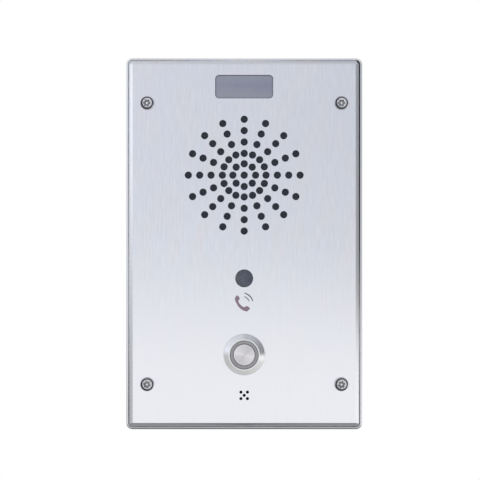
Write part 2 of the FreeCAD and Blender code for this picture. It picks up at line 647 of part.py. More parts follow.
def make_earth_stud():
    body = piece("earth_stud", x="earth_stud_side - panel_width / 2",
                 up=f"{panel_height} / 2 - earth_stud_end", out="foot_height + rear_sheet")
    turned(body, [
        ("0", "0"), ("earth_stud_base", "0"),
        ("earth_stud_base", "earth_stud_base_height"),
        ("earth_stud_radius", "earth_stud_base_height"),
        ("earth_stud_radius", "earth_stud_length"), ("0", "earth_stud_length")])


def make_seat_frame():
    body = piece("seat_frame", out=frame_back)
    drawing = Drawing(body, "ring")
    drawing.rounded_rectangle(inside_width, inside_height, inside_corner)
    drawing.rounded_rectangle(opening_width, opening_height, "frame_corner")
    pad(drawing, "frame_thickness")
    holes = Drawing(body, "nut_holes", z="frame_thickness")
    holes.four_circles("press_nut_collar", screws_across, screws_up)
    pocket(holes)


def make_press_nuts():
    body = piece("press_nuts", x=f"-{screws_across} / 2", up=f"-{screws_up} / 2", out=frame_back)
    bore = "screw_radius + thread_gap"
    turned(body, [
        (bore, "-press_nut_height"), ("press_nut_radius", "-press_nut_height"), ("press_nut_radius", "0"),
        ("press_nut_collar", "0"), ("press_nut_collar", "press_nut_collar_height"),
        (bore, "press_nut_collar_height")])
    four_corners(body, screws_across, screws_up)


def make_plate_gasket():
    body = piece("plate_gasket", out=f"{plate_back} - seal_thickness")
    drawing = Drawing(body, "ring")
    drawing.rounded_rectangle(f"{plate_width} - 2 * seal_setback", f"{plate_height} - 2 * seal_setback",
                              plate_corner)
    drawing.rounded_rectangle(opening_width, opening_height, "frame_corner")
    pad(drawing, "seal_thickness")
    holes = Drawing(body, "screw_holes", z="seal_thickness")
    holes.four_circles("screw_radius + 2 * screw_play", screws_across, screws_up)
    pocket(holes)


# Front plate and its screws

def make_front_plate():
    body = piece("front_plate", out=plate_back)
    outline = Drawing(body, "outline")
    outline.rounded_rectangle(plate_width, plate_height, plate_corner)
    bevel_front_edges(body, pad(outline, "plate_thickness"), "plate_thickness", "plate_bevel")

    holes = Drawing(body, "screw_holes", z="plate_thickness")
    holes.four_circles("screw_radius + screw_play", screws_across, screws_up)
    pocket(holes)

    window = Drawing(body, "window", y=window_up, z="plate_thickness")
    window.rounded_rectangle("window_width", "window_height", "window_corner")
    pocket(window)

    round_holes = Drawing(body, "camera_and_button", z="plate_thickness")
    round_holes.circle("camera_hole", y=camera_up)
    round_holes.circle("button_thread + button_hole_play", y=button_up)
    pocket(round_holes)

    mic_holes = Drawing(body, "mic_holes", y=mic_up, z="plate_thickness")
    mic_holes.circle("mic_hole")
    mic_holes.four_circles("mic_hole", "mic_hole_pitch", "mic_hole_pitch")
    pocket(mic_holes)

    centre = Drawing(body, "grille_centre", y=speaker_up, z="plate_thickness")
    centre.circle("grille_hole")
    pocket(centre)
    inner = Drawing(body, "grille_inner", y=speaker_up, z="plate_thickness")
    inner.circle("grille_hole", x="grille_inner")
    polar(body, [pocket(inner)], "grille_rays / 2", axis=(inner.sketch, ["N_Axis"]))
    ray = Drawing(body, "grille_ray", y=speaker_up, z="plate_thickness")
    pitch = "(speaker_radius - grille_margin - grille_ray_start) / (grille_ray_holes - 1)"
    for step in range(round(worked_out("grille_ray_holes"))):
        ray.circle("grille_hole", x=f"grille_ray_start + {step} * {pitch}")
    polar(body, [pocket(ray)], "grille_rays", axis=(ray.sketch, ["N_Axis"]))


def make_plate_screws():
    body = piece("plate_screws", x=f"-{screws_across} / 2", up=f"-{screws_up} / 2", out=plate_front)
    turned(body, [
        ("0", "-screw_length"), ("screw_radius", "-screw_length"), ("screw_radius", "0"),
        ("screw_head", "0"), ("screw_head", "screw_head_edge", "screw_dome", 1),
        ("screw_head_flat", "screw_head_height"), ("0", "screw_head_height")])
    core = Drawing(body, "socket", z="screw_head_height")
    core.circle("socket_core")
    core.circle("socket_pin")
    pocket(core, "socket_depth")
    lobe = Drawing(body, "lobe", z="screw_head_height")
    lobe.circle("socket_lobe", x="socket_reach")
    polar(body, [pocket(lobe, "socket_depth")], "socket_lobes")
    four_corners(body, screws_across, screws_up)


# Light behind the top window

def make_light_window():
    body = piece("light_window", up=window_up, out=f"{plate_back} - light_seal - window_flange")
    flange = Drawing(body, "flange")
    flange.rounded_rectangle("window_width + 2 * window_lip", "window_height + 2 * window_lip",
                             "window_corner")
    pad(flange, "window_flange")
    boss = Drawing(body, "boss", z="window_flange")
    boss.rounded_rectangle("window_width - 2 * window_fit", "window_height - 2 * window_fit",
                           "(window_corner - window_fit)")
    pad(boss, "light_seal + plate_thickness - window_recess")


def make_light_gasket():
    body = piece("light_gasket", up=window_up, out=f"{plate_back} - light_seal")
    ring = Drawing(body, "ring")
    ring.rounded_rectangle("window_width + 2 * window_lip", "window_height + 2 * window_lip",
                           "window_corner")
    ring.rounded_rectangle("window_width + 2 * light_seal_set", "window_height + 2 * light_seal_set",
                           "window_corner")
    pad(ring, "light_seal")


light_holes = "(light_board_width - 2 * light_hole_inset)"
light_board_out = f"({plate_back} - light_board_drop)"


def make_light_board():
    body = piece("light_board", up=window_up, out=f"{light_board_out} - board_thickness")
    outline = Drawing(body, "outline")
    outline.rounded_rectangle("light_board_width", "light_board_height", "board_corner")
    for x in (f"-{light_holes} / 2", f"{light_holes} / 2"):
        outline.circle("small_screw + hole_play", x)
    pad(outline, "board_thickness")


def make_light_leds():
    body = piece("light_leds", x="-led_pitch_across", up=f"{window_up} - led_pitch_up / 2",
                 out=light_board_out)
    case = Drawing(body, "case")
    case.rectangle("led_width", "led_height")
    pad(case, "led_body")
    lens = Drawing(body, "lens", z="led_body")
    lens.circle("led_lens")
    pad(lens, "led_lens_height")
    row(body, "X_Axis", "2 * led_pitch_across", "3")
    row(body, "Y_Axis", "led_pitch_up")


def tapped_post(body, drawing, length, screw, grip):
    """A post from a board to the plate, with a blind thread in the end that meets the board."""
    pad(drawing, length)
    bore = Drawing(body, "thread", z=f"({grip}) + thread_rest")
    bore.circle(f"{screw} + thread_gap")
    pocket(bore, f"({grip}) + thread_rest")


def pan_screw(body, head, head_height, screw, grip):
    """A pan head screw from behind a board: its head's seat is at z = 0, its shank points out."""
    turned(body, [
        ("0", f"-{head_height}"), (f"{head} - head_bevel", f"-{head_height}"),
        (head, f"head_bevel - {head_height}"), (head, "0"), (screw, "0"),
        (screw, f"board_thickness + {grip}"), ("0", f"board_thickness + {grip}")])
    for name, width, height in (("cross", "cross_width", f"2 * {screw}"),
                                ("cross_arm", f"2 * {screw}", "cross_width")):
        slot = Drawing(body, name, z=f"cross_depth - {head_height}")
        slot.rectangle(width, height)
        pocket(slot, "cross_depth")


def make_light_spacers():
    body = piece("light_spacers", x=f"-{light_holes} / 2", up=window_up, out=light_board_out)
    barrel = Drawing(body, "barrel")
    barrel.circle("spacer_radius")
    tapped_post(body, barrel, "light_board_drop", "small_screw", "small_screw_grip")
    row(body, "X_Axis", light_holes)


def make_light_screws():
    body = piece("light_screws", x=f"-{light_holes} / 2", up=window_up,
                 out=f"{light_board_out} - board_thickness")
    pan_screw(body, "small_screw_head", "small_screw_head_height", "small_screw", "small_screw_grip")
    row(body, "X_Axis", light_holes)


# Loudspeaker. Its pieces are measured from the plate's back, so their z runs down from 0.

basket_mouth = "(speaker_radius - basket_flange)"
cone_edge = f"({basket_mouth} - surround_width)"
stud_circle = "(speaker_radius + stud_clearance)"
clamp_reach = "(speaker_radius + clamp_outside)"
basket_top = "(mesh_thickness + speaker_seal)"
basket_inside = f"({basket_top} + basket_depth)"
basket_rear = f"({basket_inside} + basket_sheet)"
shelf_top = f"({basket_inside} - shelf_height)"
gap_plate_rear = f"({basket_rear} + gap_plate_height)"
magnet_rear = f"({gap_plate_rear} + magnet_height)"
yoke_rear = f"({magnet_rear} + yoke_height)"
shelf_outer = "(basket_floor + shelf_width)"
neck_top = f"({basket_top} + cone_fall)"


def speaker_piece(name, turn=0):
    return piece(name, up=speaker_up, out=plate_back, turn=turn)


def make_speaker_mesh():
    body = speaker_piece("speaker_mesh")
    disc = Drawing(body, "disc", z="-mesh_thickness")
    disc.circle("speaker_radius")
    pad(disc, "mesh_thickness")


def make_speaker_gasket():
    body = speaker_piece("speaker_gasket")
    ring = Drawing(body, "ring", z=f"-{basket_top}")
    ring.circle("speaker_radius")
    ring.circle("speaker_radius - speaker_seal_width")
    pad(ring, "speaker_seal")


def make_speaker_basket():
    body = speaker_piece("speaker_basket")
    turned(body, [
        ("basket_hole", f"-{basket_rear}"),
        ("basket_floor", f"-{basket_rear}"),
        ("basket_floor", f"-{shelf_top} - basket_sheet"),
        (f"{shelf_outer} - basket_sheet / 3", f"-{shelf_top} - basket_sheet"),
        (f"{basket_mouth} + basket_sheet / 2", f"-{basket_top} - basket_sheet"),
        ("speaker_radius", f"-{basket_top} - basket_sheet"),
        ("speaker_radius", f"-{basket_top}"),
        (basket_mouth, f"-{basket_top}"),
        (f"{shelf_outer} - basket_sheet", f"-{shelf_top}"),
        ("basket_floor - basket_sheet", f"-{shelf_top}"),
        ("basket_floor - basket_sheet", f"-{basket_inside}"),
        ("basket_hole", f"-{basket_inside}")])
    window = Drawing(body, "window", x=f"({shelf_outer} + {basket_mouth}) / 2")
    across = f"({basket_mouth} - {shelf_outer} - 2 * basket_window_rim)"
    window.rounded_rectangle(across, "basket_window_round", "basket_window_corner")
    polar(body, [pocket(window)], "basket_windows")


def make_speaker_cone():
    body = speaker_piece("speaker_cone")
    turned(body, [
        ("coil_former", f"-{neck_top} - cone_paper"),
        (f"{cone_edge} - cone_rim", f"-{basket_top} - cone_paper"),
        (cone_edge, f"-{basket_top} - cone_paper"),
        (cone_edge, f"-{basket_top}"),
        (f"{cone_edge} - cone_rim", f"-{basket_top}"),
        ("coil_former", f"-{neck_top}")])


def make_speaker_surround():
    body = speaker_piece("speaker_surround")
    half = "(surround_width / 2)"
    roll = f"({half} * {half} / surround_rise + surround_rise) / 2"
    low = f"-{basket_top}"
    high = f"surround_rubber - {basket_top}"
    turned(body, [
        (f"{cone_edge} - cone_rim", low), (cone_edge, low, roll, -1),
        (basket_mouth, low), (f"{basket_mouth} + surround_land", low),
        (f"{basket_mouth} + surround_land", high), (basket_mouth, high, roll, 1),
        (cone_edge, high), (f"{cone_edge} - cone_rim", high)])


def make_speaker_dust_cap():
    body = speaker_piece("speaker_dust_cap")
    slope = f"(cone_fall / ({cone_edge} - cone_rim - coil_former))"
    foot = f"({neck_top} - (cap_radius - coil_former) * {slope})"
    dome = "(cap_radius * cap_radius / cap_rise + cap_rise) / 2"
    inner_radius = "(cap_radius - cap_wall)"
    inner_rise = "(cap_rise - cap_wall)"
    inner_dome = f"({inner_radius} * {inner_radius} / {inner_rise} + {inner_rise}) / 2"
    turned(body, [
        (inner_radius, f"-{foot}"), ("cap_radius", f"-{foot}", dome, 1), ("0", f"cap_rise - {foot}"),
        ("0", f"cap_rise - {foot} - cap_wall", inner_dome, -1)])


def make_speaker_voice_coil():
    body = speaker_piece("speaker_voice_coil")
    bottom = f"-{basket_rear} - coil_reach"
    turned(body, [
        ("coil_former - coil_former_wall", bottom),
        ("coil_former + coil_winding", bottom),
        ("coil_former + coil_winding", f"{bottom} + coil_height"),
        ("coil_former", f"{bottom} + coil_height"),
        ("coil_former", f"former_rise - {neck_top} - cone_paper"),
        ("coil_former - coil_former_wall", f"former_rise - {neck_top} - cone_paper")])


def make_speaker_spider():
    """A ring of waved cloth, from the former to its shelf in the basket."""
    body = speaker_piece("speaker_spider")
    inner, outer = "coil_former", "(basket_floor - basket_sheet)"
    top, bottom = [], []
    for step in range(round(worked_out("spider_folds")) + 1):
        radius = f"{inner} + ({outer} - {inner}) * {step} / spider_folds"
        lift = "spider_wave" if step % 2 else "0"
        top.append((radius, f"{lift} + spider_cloth - {shelf_top}"))
        bottom.append((radius, f"{lift} - {shelf_top}"))
    rim = f"{shelf_outer} - basket_sheet - spider_set"
    turned(body, bottom + [(rim, f"-{shelf_top}"), (rim, f"spider_cloth - {shelf_top}")] + top[::-1])


def make_speaker_top_plate():
    body = speaker_piece("speaker_top_plate")
    ring = Drawing(body, "ring", z=f"-{gap_plate_rear}")
    ring.circle("gap_plate_radius")
    ring.circle("gap_plate_hole")
    pad(ring, "gap_plate_height")


def make_speaker_magnet():
    body = speaker_piece("speaker_magnet")
    ring = Drawing(body, "ring", z=f"-{magnet_rear}")
    ring.circle("magnet_radius")
    ring.circle("magnet_hole")
    pad(ring, "magnet_height")


def make_speaker_yoke():
    body = speaker_piece("speaker_yoke")
    turned(body, [
        ("0", f"-{yoke_rear}"), ("gap_plate_radius", f"-{yoke_rear}"),
        ("gap_plate_radius", f"-{magnet_rear}"), ("pole_radius", f"-{magnet_rear}"),
        ("pole_radius", f"-{basket_rear}"), ("0", f"-{basket_rear}")])


def make_speaker_terminals():
    """Two lugs on a strip under the lower side of the basket's flange."""
    body = speaker_piece("speaker_terminals")
    strip_depth = "(basket_flange - basket_sheet)"
    strip_y = f"{strip_depth} / 2 - speaker_radius + lug_strip_set"
    strip = Drawing(body, "strip", z=f"-{basket_top} - 2 * basket_sheet")
    strip.rectangle("lug_strip_width", strip_depth, y=strip_y)
    pad(strip, "basket_sheet")
    lugs = Drawing(body, "lugs", z=f"-{basket_top} - 2 * basket_sheet - lug_length")
    for x in ("-lug_pitch / 2", "lug_pitch / 2"):
        lugs.rectangle("lug_width", "lug_sheet", x, strip_y)
    pad(lugs, "lug_length")


def make_speaker_studs():
    body = speaker_piece("speaker_studs", turn=FIXING_TURN)
    stud = Drawing(body, "stud", x=stud_circle, z="-stud_length")
    stud.circle("stud_radius")
    pad(stud, "stud_length")
    base = Drawing(body, "base", x=stud_circle, z="-stud_base_height")
    base.circle("stud_base")
    pad(base, "stud_base_height")
    polar(body, None, "stud_count")


def make_speaker_clamps():
    body = speaker_piece("speaker_clamps", turn=FIXING_TURN)
    inner = "(speaker_radius - clamp_overlap)"
    seat = f"({basket_top} + basket_sheet)"
    length = "(clamp_overlap + clamp_outside)"
    tongue = Drawing(body, "tongue", z=f"-{seat} - clamp_sheet")
    tongue.rectangle(length, "clamp_width", f"{inner} + {length} / 2")
    tongue.circle("stud_radius + hole_play", stud_circle)
    pad(tongue, "clamp_sheet")
    leg = Drawing(body, "leg", z=f"-{seat}")
    leg.rectangle("clamp_sheet", "clamp_width", f"{clamp_reach} - clamp_sheet / 2")
    pad(leg, seat)
    polar(body, None, "stud_count")


def make_speaker_nuts():
    body = speaker_piece("speaker_nuts", turn=FIXING_TURN)
    top = f"({basket_top} + basket_sheet + clamp_sheet)"
    nut = Drawing(body, "nut", x=stud_circle, z=f"-{top} - clamp_nut_height")
    nut.hexagon("clamp_nut_flats")
    nut.circle("stud_radius + thread_gap")
    pad(nut, "clamp_nut_height")
    polar(body, None, "stud_count")


# Camera

camera_holes = "(camera_board_side - 2 * camera_hole_inset)"
camera_board_out = f"({plate_back} - camera_board_drop)"
barrel_front = "(camera_flange + lens_gap)"


def camera_piece(name):
    return piece(name, up=camera_up, out=plate_back)


def make_camera_window():
    body = camera_piece("camera_window")
    boss = "camera_hole - camera_fit"
    turned(body, [
        ("0", "-camera_flange"), ("camera_hole + camera_lip", "-camera_flange"),
        ("camera_hole + camera_lip", "0"), (boss, "0"),
        (boss, "plate_thickness - camera_recess"), ("0", "plate_thickness - camera_recess")])


def make_camera_lens_barrel():
    body = camera_piece("camera_lens_barrel")
    rear = f"-{barrel_front} - barrel_length"
    turned(body, [
        ("barrel_bore", rear), ("barrel_radius", rear),
        ("barrel_radius", f"-{barrel_front}"), ("barrel_mouth", f"-{barrel_front}"),
        ("barrel_bore", f"-{barrel_front} - barrel_dish")])


def make_camera_front_lens():
    body = camera_piece("camera_front_lens")
    size = "(barrel_bore - lens_fit)"
    dome = f"({size} * {size} / lens_dome + lens_dome) / 2"
    edge = f"({barrel_front} + barrel_dish + lens_set)"
    turned(body, [
        ("0", f"-{edge} - lens_edge"), (size, f"-{edge} - lens_edge"), (size, f"-{edge}", dome, 1),
        ("0", f"lens_dome - {edge}")])


def make_camera_lens_holder():
    body = piece("camera_lens_holder", up=camera_up, out=camera_board_out)
    foot = Drawing(body, "foot")
    foot.rounded_rectangle("holder_side", "holder_side", "holder_corner")
    pad(foot, "holder_foot")
    collar = Drawing(body, "collar")
    collar.circle("barrel_radius + holder_wall")
    pad(collar, "holder_height")
    bore = Drawing(body, "bore", z="holder_height")
    bore.circle("barrel_radius + thread_gap")
    pocket(bore)


def make_camera_sensor():
    body = piece("camera_sensor", up=camera_up, out=camera_board_out)
    case = Drawing(body, "case")
    case.rectangle("sensor_width", "sensor_height")
    pad(case, "sensor_thickness")


def make_camera_board():
    body = piece("camera_board", up=camera_up, out=f"{camera_board_out} - board_thickness")
    outline = Drawing(body, "outline")
    outline.rounded_rectangle("camera_board_side", "camera_board_side", "board_corner")
    outline.four_circles("small_screw + hole_play", camera_holes, camera_holes)
    pad(outline, "board_thickness")


def make_camera_standoffs():
    body = piece("camera_standoffs", x=f"-{camera_holes} / 2", up=f"{camera_up} - {camera_holes} / 2",
                 out=camera_board_out)
    post = Drawing(body, "post")
    post.hexagon("post_flats")
    tapped_post(body, post, "camera_board_drop", "small_screw", "small_screw_grip")
    four_corners(body, camera_holes, camera_holes)


def make_camera_screws():
    body = piece("camera_screws", x=f"-{camera_holes} / 2", up=f"{camera_up} - {camera_holes} / 2",
                 out=f"{camera_board_out} - board_thickness")
    pan_screw(body, "small_screw_head", "small_screw_head_height", "small_screw", "small_screw_grip")
    four_corners(body, camera_holes, camera_holes)


def make_camera_ribbon():
    """A flat ribbon that leaves the camera board's socket downwards and bends back to the main board's."""
    body = piece("camera_ribbon", up=f"{camera_up} + ribbon_place - ribbon_socket_length", out=board_front)
    room = f"({camera_board_out} - board_thickness - {board_front})"
    low = "(ribbon_socket_height / 2)"
    high = f"({room} - ribbon_socket_height / 2)"
    inner = f"(({high} - {low}) / 2 - ribbon_thickness / 2)"
    outer = f"({inner} + ribbon_thickness)"
    middle = f"({room} / 2)"
    drawing = Drawing(body, "side", plane="YZ_Plane")
    drawing.outline([
        ("0", f"{middle} + {inner}"), ("0", f"{middle} + {outer}"),
        ("-ribbon_straight", f"{middle} + {outer}", outer, 1),
        (f"-ribbon_straight - {outer}", middle, outer, 1),
        ("-ribbon_straight", f"{middle} - {outer}"), ("0", f"{middle} - {outer}"),
        ("0", f"{middle} - {inner}"), ("-ribbon_straight", f"{middle} - {inner}", inner, -1),
        (f"-ribbon_straight - {inner}", middle, inner, -1),
        ("-ribbon_straight", f"{middle} + {inner}")])
    strip = pad(drawing, "ribbon_width")
    strip.Midplane = True


# Call button. Its pieces are measured from the plate's front face.

button_guide_end = "(button_step + button_guide)"
lip_top = "(button_seal_height + button_flange_edge + button_bevel_rise)"
collar_top = f"({button_guide_end} + actuator_rest_gap)"
block_top = f"({collar_top} + actuator_collar_height + spring_room)"


def button_piece(name):
    return piece(name, up=button_up, out=plate_front)


def make_button_housing():
    body = button_piece("button_housing")
    ring_seat = "button_bevel_inner - button_lip"
    guide = "actuator_radius + actuator_play"
    rear_bore = "button_thread - button_wall"
    turned(body, [
        (rear_bore, "-button_length"), ("button_thread", "-button_length"),
        ("button_thread", "button_seal_height"), ("button_flange", "button_seal_height"),
        ("button_flange", "button_seal_height + button_flange_edge"), ("button_bevel_inner", lip_top),
        (ring_seat, lip_top), (ring_seat, "-button_step"), (guide, "-button_step"),
        (guide, f"-{button_guide_end}"), (rear_bore, f"-{button_guide_end}")])


def make_button_seal():
    body = button_piece("button_seal")
    ring = Drawing(body, "ring")
    ring.circle("button_thread + button_seal_set + button_seal_width")
    ring.circle("button_thread + button_seal_set")
    pad(ring, "button_seal_height")


def make_button_nut():
    body = button_piece("button_nut")
    nut = Drawing(body, "nut", z="-plate_thickness - nut_height")
    nut.hexagon("nut_flats")
    nut.circle("button_thread + thread_gap")
    pad(nut, "nut_height")


def make_button_light_ring():
    body = button_piece("button_light_ring")
    outer = "button_bevel_inner - button_lip - ring_fit"
    inner = "actuator_radius + actuator_play + ring_fit"
    top = f"{lip_top} - ring_recess"
    turned(body, [
        (inner, "-button_step"), (outer, "-button_step"), (outer, f"{top} - ring_round"),
        (f"{outer} - ring_round", top), (f"{inner} + ring_round", top), (inner, f"{top} - ring_round")])


def make_button_actuator():
    body = button_piece("button_actuator")
    top = f"({lip_top} - ring_recess)"
    collar_bottom = f"({collar_top} + actuator_collar_height)"
    turned(body, [
        ("0", f"-{collar_bottom} - stem_length"), ("stem_radius", f"-{collar_bottom} - stem_length"),
        ("stem_radius", f"-{collar_bottom}"), ("actuator_collar", f"-{collar_bottom}"),
        ("actuator_collar", f"-{collar_top}"), ("actuator_radius", f"-{collar_top}"),
        ("actuator_radius", f"{top} - actuator_edge"), ("actuator_radius - actuator_edge", top), ("0", top)])


def make_button_spring():
    body = button_piece("button_spring")
    wire = Drawing(body, "wire", plane="XZ_Plane", y=f"spring_wire + spring_end_gap - {block_top}")
    wire.circle("spring_wire", x="spring_radius")
    coil = body.newObject("PartDesign::AdditiveHelix", "button_spring_coil")
    coil.Profile = wire.sketch
    coil.ReferenceAxis = (wire.sketch, ["V_Axis"])
    coil.Mode = "height-turns-angle"
    bind(coil, "Height", "spring_room - 2 * (spring_wire + spring_end_gap)")
    bind(coil, "Turns", "spring_turns")
    finished(body, coil)


def make_button_contact_block():
    body = button_piece("button_contact_block")
    bore = "button_thread - button_wall - block_play"
    well = "stem_radius + stem_play"
    seat = "-button_length"
    turned(body, [
        ("0", f"{seat} - block_flange - block_tail"), (bore, f"{seat} - block_flange - block_tail"),
        (bore, f"{seat} - block_flange"), ("button_thread", f"{seat} - block_flange"),
        ("button_thread", seat), (bore, seat), (bore, f"-{block_top}"), (well, f"-{block_top}"),
        (well, f"-{block_top} - block_well"), ("0", f"-{block_top} - block_well")])


def make_button_terminals():
    body = button_piece("button_terminals")
    blades = Drawing(body, "blades", z="-button_length - block_flange - block_tail - blade_length")
    blades.rectangle("blade_width", "blade_sheet")
    for x in ("-blade_pitch / 2", "blade_pitch / 2"):
        for y in ("-blade_pitch / 2", "blade_pitch / 2"):
            blades.rectangle("blade_width", "blade_sheet", x, y)
    pad(blades, "blade_length")


# Microphone

def make_mic_boot():
    body = piece("mic_boot", up=mic_up, out=plate_back)
    bore = "mic_radius + mic_fit"
    turned(body, [
        ("0", "-mic_boot_height"), ("mic_boot_radius", "-mic_boot_height"), ("mic_boot_radius", "0"),
        (bore, "0"), (bore, "mic_boot_floor - mic_boot_height"), ("0", "mic_boot_floor - mic_boot_height")])


def make_mic_capsule():
    body = piece("mic_capsule", up=mic_up, out=plate_back)
    turned(body, [
        ("0", "mic_boot_floor - mic_boot_height"), ("mic_radius", "mic_boot_floor - mic_boot_height"),
        ("mic_radius", "-mic_front_room"), ("mic_felt", "-mic_front_room"),
        ("mic_felt", "-mic_front_room - mic_felt_depth"), ("0", "-mic_front_room - mic_felt_depth")])


# Main board, what stands on it, and its leads

board_holes_across = f"({board_width} - 2 * board_hole_inset)"
board_holes_up = f"({board_height} - board_hole_inset - board_hole_drop)"
board_left_edge = f"(-({board_width}) / 2)"
board_right_edge = f"({board_width} / 2)"


def make_main_board():
    body = piece("main_board", up=f"({board_top} + {board_bottom}) / 2", out=board_rear)
    outline = Drawing(body, "outline")
    outline.rounded_rectangle(board_width, board_height, "board_corner")
    pad(outline, "board_thickness")
    holes = Drawing(body, "holes", y="(board_hole_inset - board_hole_drop) / 2", z="board_thickness")
    holes.four_circles("board_screw + hole_play", board_holes_across, board_holes_up)
    pocket(holes)


def make_board_standoffs():
    body = piece("board_standoffs", x=f"-{board_holes_across} / 2",
                 up=f"{board_bottom} + board_hole_inset", out=board_front)
    post = Drawing(body, "post")
    post.hexagon("standoff_flats")
    tapped_post(body, post, "standoff_length", "board_screw", "board_screw_grip")
    four_corners(body, board_holes_across, board_holes_up)


def make_board_screws():
    body = piece("board_screws", x=f"-{board_holes_across} / 2",
                 up=f"{board_bottom} + board_hole_inset", out=board_rear)
    pan_screw(body, "board_screw_head", "board_screw_head_height", "board_screw", "board_screw_grip")
    four_corners(body, board_holes_across, board_holes_up)


def make_network_jack():
    """The socket lies on the board's rear side with its mouth at the top edge."""
    body = piece("network_jack", x=f"{board_right_edge} - jack_inset", up=board_top, out=board_rear)
    shell = Drawing(body, "shell", z="-jack_height")
    shell.rectangle("jack_width", "jack_length", y="-jack_length / 2")
    pad(shell, "jack_height")
    mouth = Drawing(body, "mouth", plane="XZ_Plane")
    mouth.rectangle("port_width", "port_height", y="-port_wall - port_height / 2")
    cut = pocket(mouth, "port_depth")
    cut.Reversed = True
    latch = Drawing(body, "latch", plane="XZ_Plane")
    latch.rectangle("latch_width", "latch_height", y="-port_wall - port_height - latch_height / 2")
    cut = pocket(latch, "port_depth")
    cut.Reversed = True


def make_terminal_block():
    body = piece("terminal_block", x=f"{board_left_edge} + terminal_inset", up=board_top, out=board_rear)
    half_row = "(terminal_pitch * (terminal_ways - 1) / 2)"
    shell = Drawing(body, "shell", z="-terminal_height")
    shell.rectangle("terminal_pitch * terminal_ways", "terminal_length", y="-terminal_length / 2")
    pad(shell, "terminal_height")
    mouth = Drawing(body, "mouth", plane="XZ_Plane", x=f"-{half_row}")
    mouth.rectangle("terminal_mouth", "terminal_mouth", y="-terminal_height / 2")
    cut = pocket(mouth, "terminal_mouth_depth")
    cut.Reversed = True
    row(body, "X_Axis", f"2 * {half_row}", "terminal_ways", [cut])
    well = Drawing(body, "well", x=f"-{half_row}", z="terminal_well_depth - terminal_height")
    well.circle("terminal_well", y="-terminal_length / 2")
    row(body, "X_Axis", f"2 * {half_row}", "terminal_ways", [pocket(well, "terminal_well_depth")])


def make_terminal_screws():
    body = piece("terminal_screws",
                 x=f"{board_left_edge} + terminal_inset - terminal_pitch * (terminal_ways - 1) / 2",
                 up=f"{board_top} - terminal_length / 2",
                 out=f"{board_rear} - terminal_height + terminal_well_depth - terminal_screw_height")
    head = Drawing(body, "head")
    head.circle("terminal_well - terminal_screw_fit")
    pad(head, "terminal_screw_height")
    slot = Drawing(body, "slot", z="terminal_slot")
    slot.rectangle("terminal_slot", "2 * terminal_well")
    pocket(slot, "terminal_slot")
    row(body, "X_Axis", "terminal_pitch * (terminal_ways - 1)", "terminal_ways")


chip_x = "(camera_board_side / 2 + sink_camera_gap + sink_side / 2)"
chip_up = f"({board_top} - chip_drop)"


def make_board_chips():
    """Processor, sound chip and network transformer on the board's front side."""
    body = piece("board_chips", x=chip_x, up=chip_up, out=board_front)
    processor = Drawing(body, "processor")
    processor.rectangle("chip_side", "chip_side")
    pad(processor, "chip_thickness")
    codec = Drawing(body, "codec")
    codec.rectangle("codec_side", "codec_side", y="codec_drop")
    pad(codec, "chip_thickness")
    isolator = Drawing(body, "isolator")
    isolator.rectangle("isolator_width", "isolator_length", y="-isolator_drop")
    pad(isolator, "isolator_height")


def make_heat_sink():
    body = piece("heat_sink", x=chip_x, up=chip_up, out=f"{board_front} + chip_thickness")
    base = Drawing(body, "base")
    base.rectangle("sink_side", "sink_side")
    pad(base, "sink_base")
    fin = Drawing(body, "fin", x="(sink_fin - sink_side) / 2", z="sink_base")
    fin.rectangle("sink_fin", "sink_side")
    row(body, "X_Axis", "sink_side - sink_fin", "sink_fins", [pad(fin, "sink_fin_height")])


def make_capacitors():
    body = piece("capacitors", x=f"{board_left_edge} + capacitor_inset",
                 up=f"{board_top} - capacitor_drop", out=board_front)
    turned(body, [
        ("0", "0"), ("capacitor_radius", "0"),
        ("capacitor_radius", "capacitor_height - can_edge", "can_edge", 1),
        ("capacitor_radius - can_edge", "capacitor_height"), ("0", "capacitor_height")])
    row(body, "Y_Axis", "capacitor_pitch * (capacitor_count - 1)", "capacitor_count")


# Places of the lead sockets on the board, as x and height up the panel

socket_places = {
    "speaker": ("-speaker_socket_side", f"({board_top} - top_socket_drop)"),
    "light": (f"({board_right_edge} - light_socket_side)", f"({board_top} - top_socket_drop)"),
    "button": ("-button_socket_side", f"({button_up} - button_socket_drop)"),
    "mic": ("mic_socket_side", mic_up),
}


def make_lead_sockets():
    """Four lead sockets on the board, and the two ribbon sockets that face each other."""
    body = piece("lead_sockets", out=board_front)
    cases = Drawing(body, "cases")
    hollows = Drawing(body, "hollows", z="socket_height")
    for x, up in socket_places.values():
        cases.rectangle("socket_width", "socket_length", x, up)
        hollows.rectangle("socket_width - 2 * socket_wall", "socket_length - 2 * socket_wall", x, up)
    pad(cases, "socket_height")
    pocket(hollows, "socket_height - socket_wall")
    ribbon_y = f"{camera_up} + ribbon_place - ribbon_socket_length / 2"
    lower = Drawing(body, "ribbon_lower")
    lower.rectangle("ribbon_socket_width", "ribbon_socket_length", y=ribbon_y)
    pad(lower, "ribbon_socket_height")
    upper = Drawing(body, "ribbon_upper",
                    z=f"{camera_board_out} - board_thickness - {board_front} - ribbon_socket_height")
    upper.rectangle("ribbon_socket_width", "ribbon_socket_length", y=ribbon_y)
    pad(upper, "ribbon_socket_height")


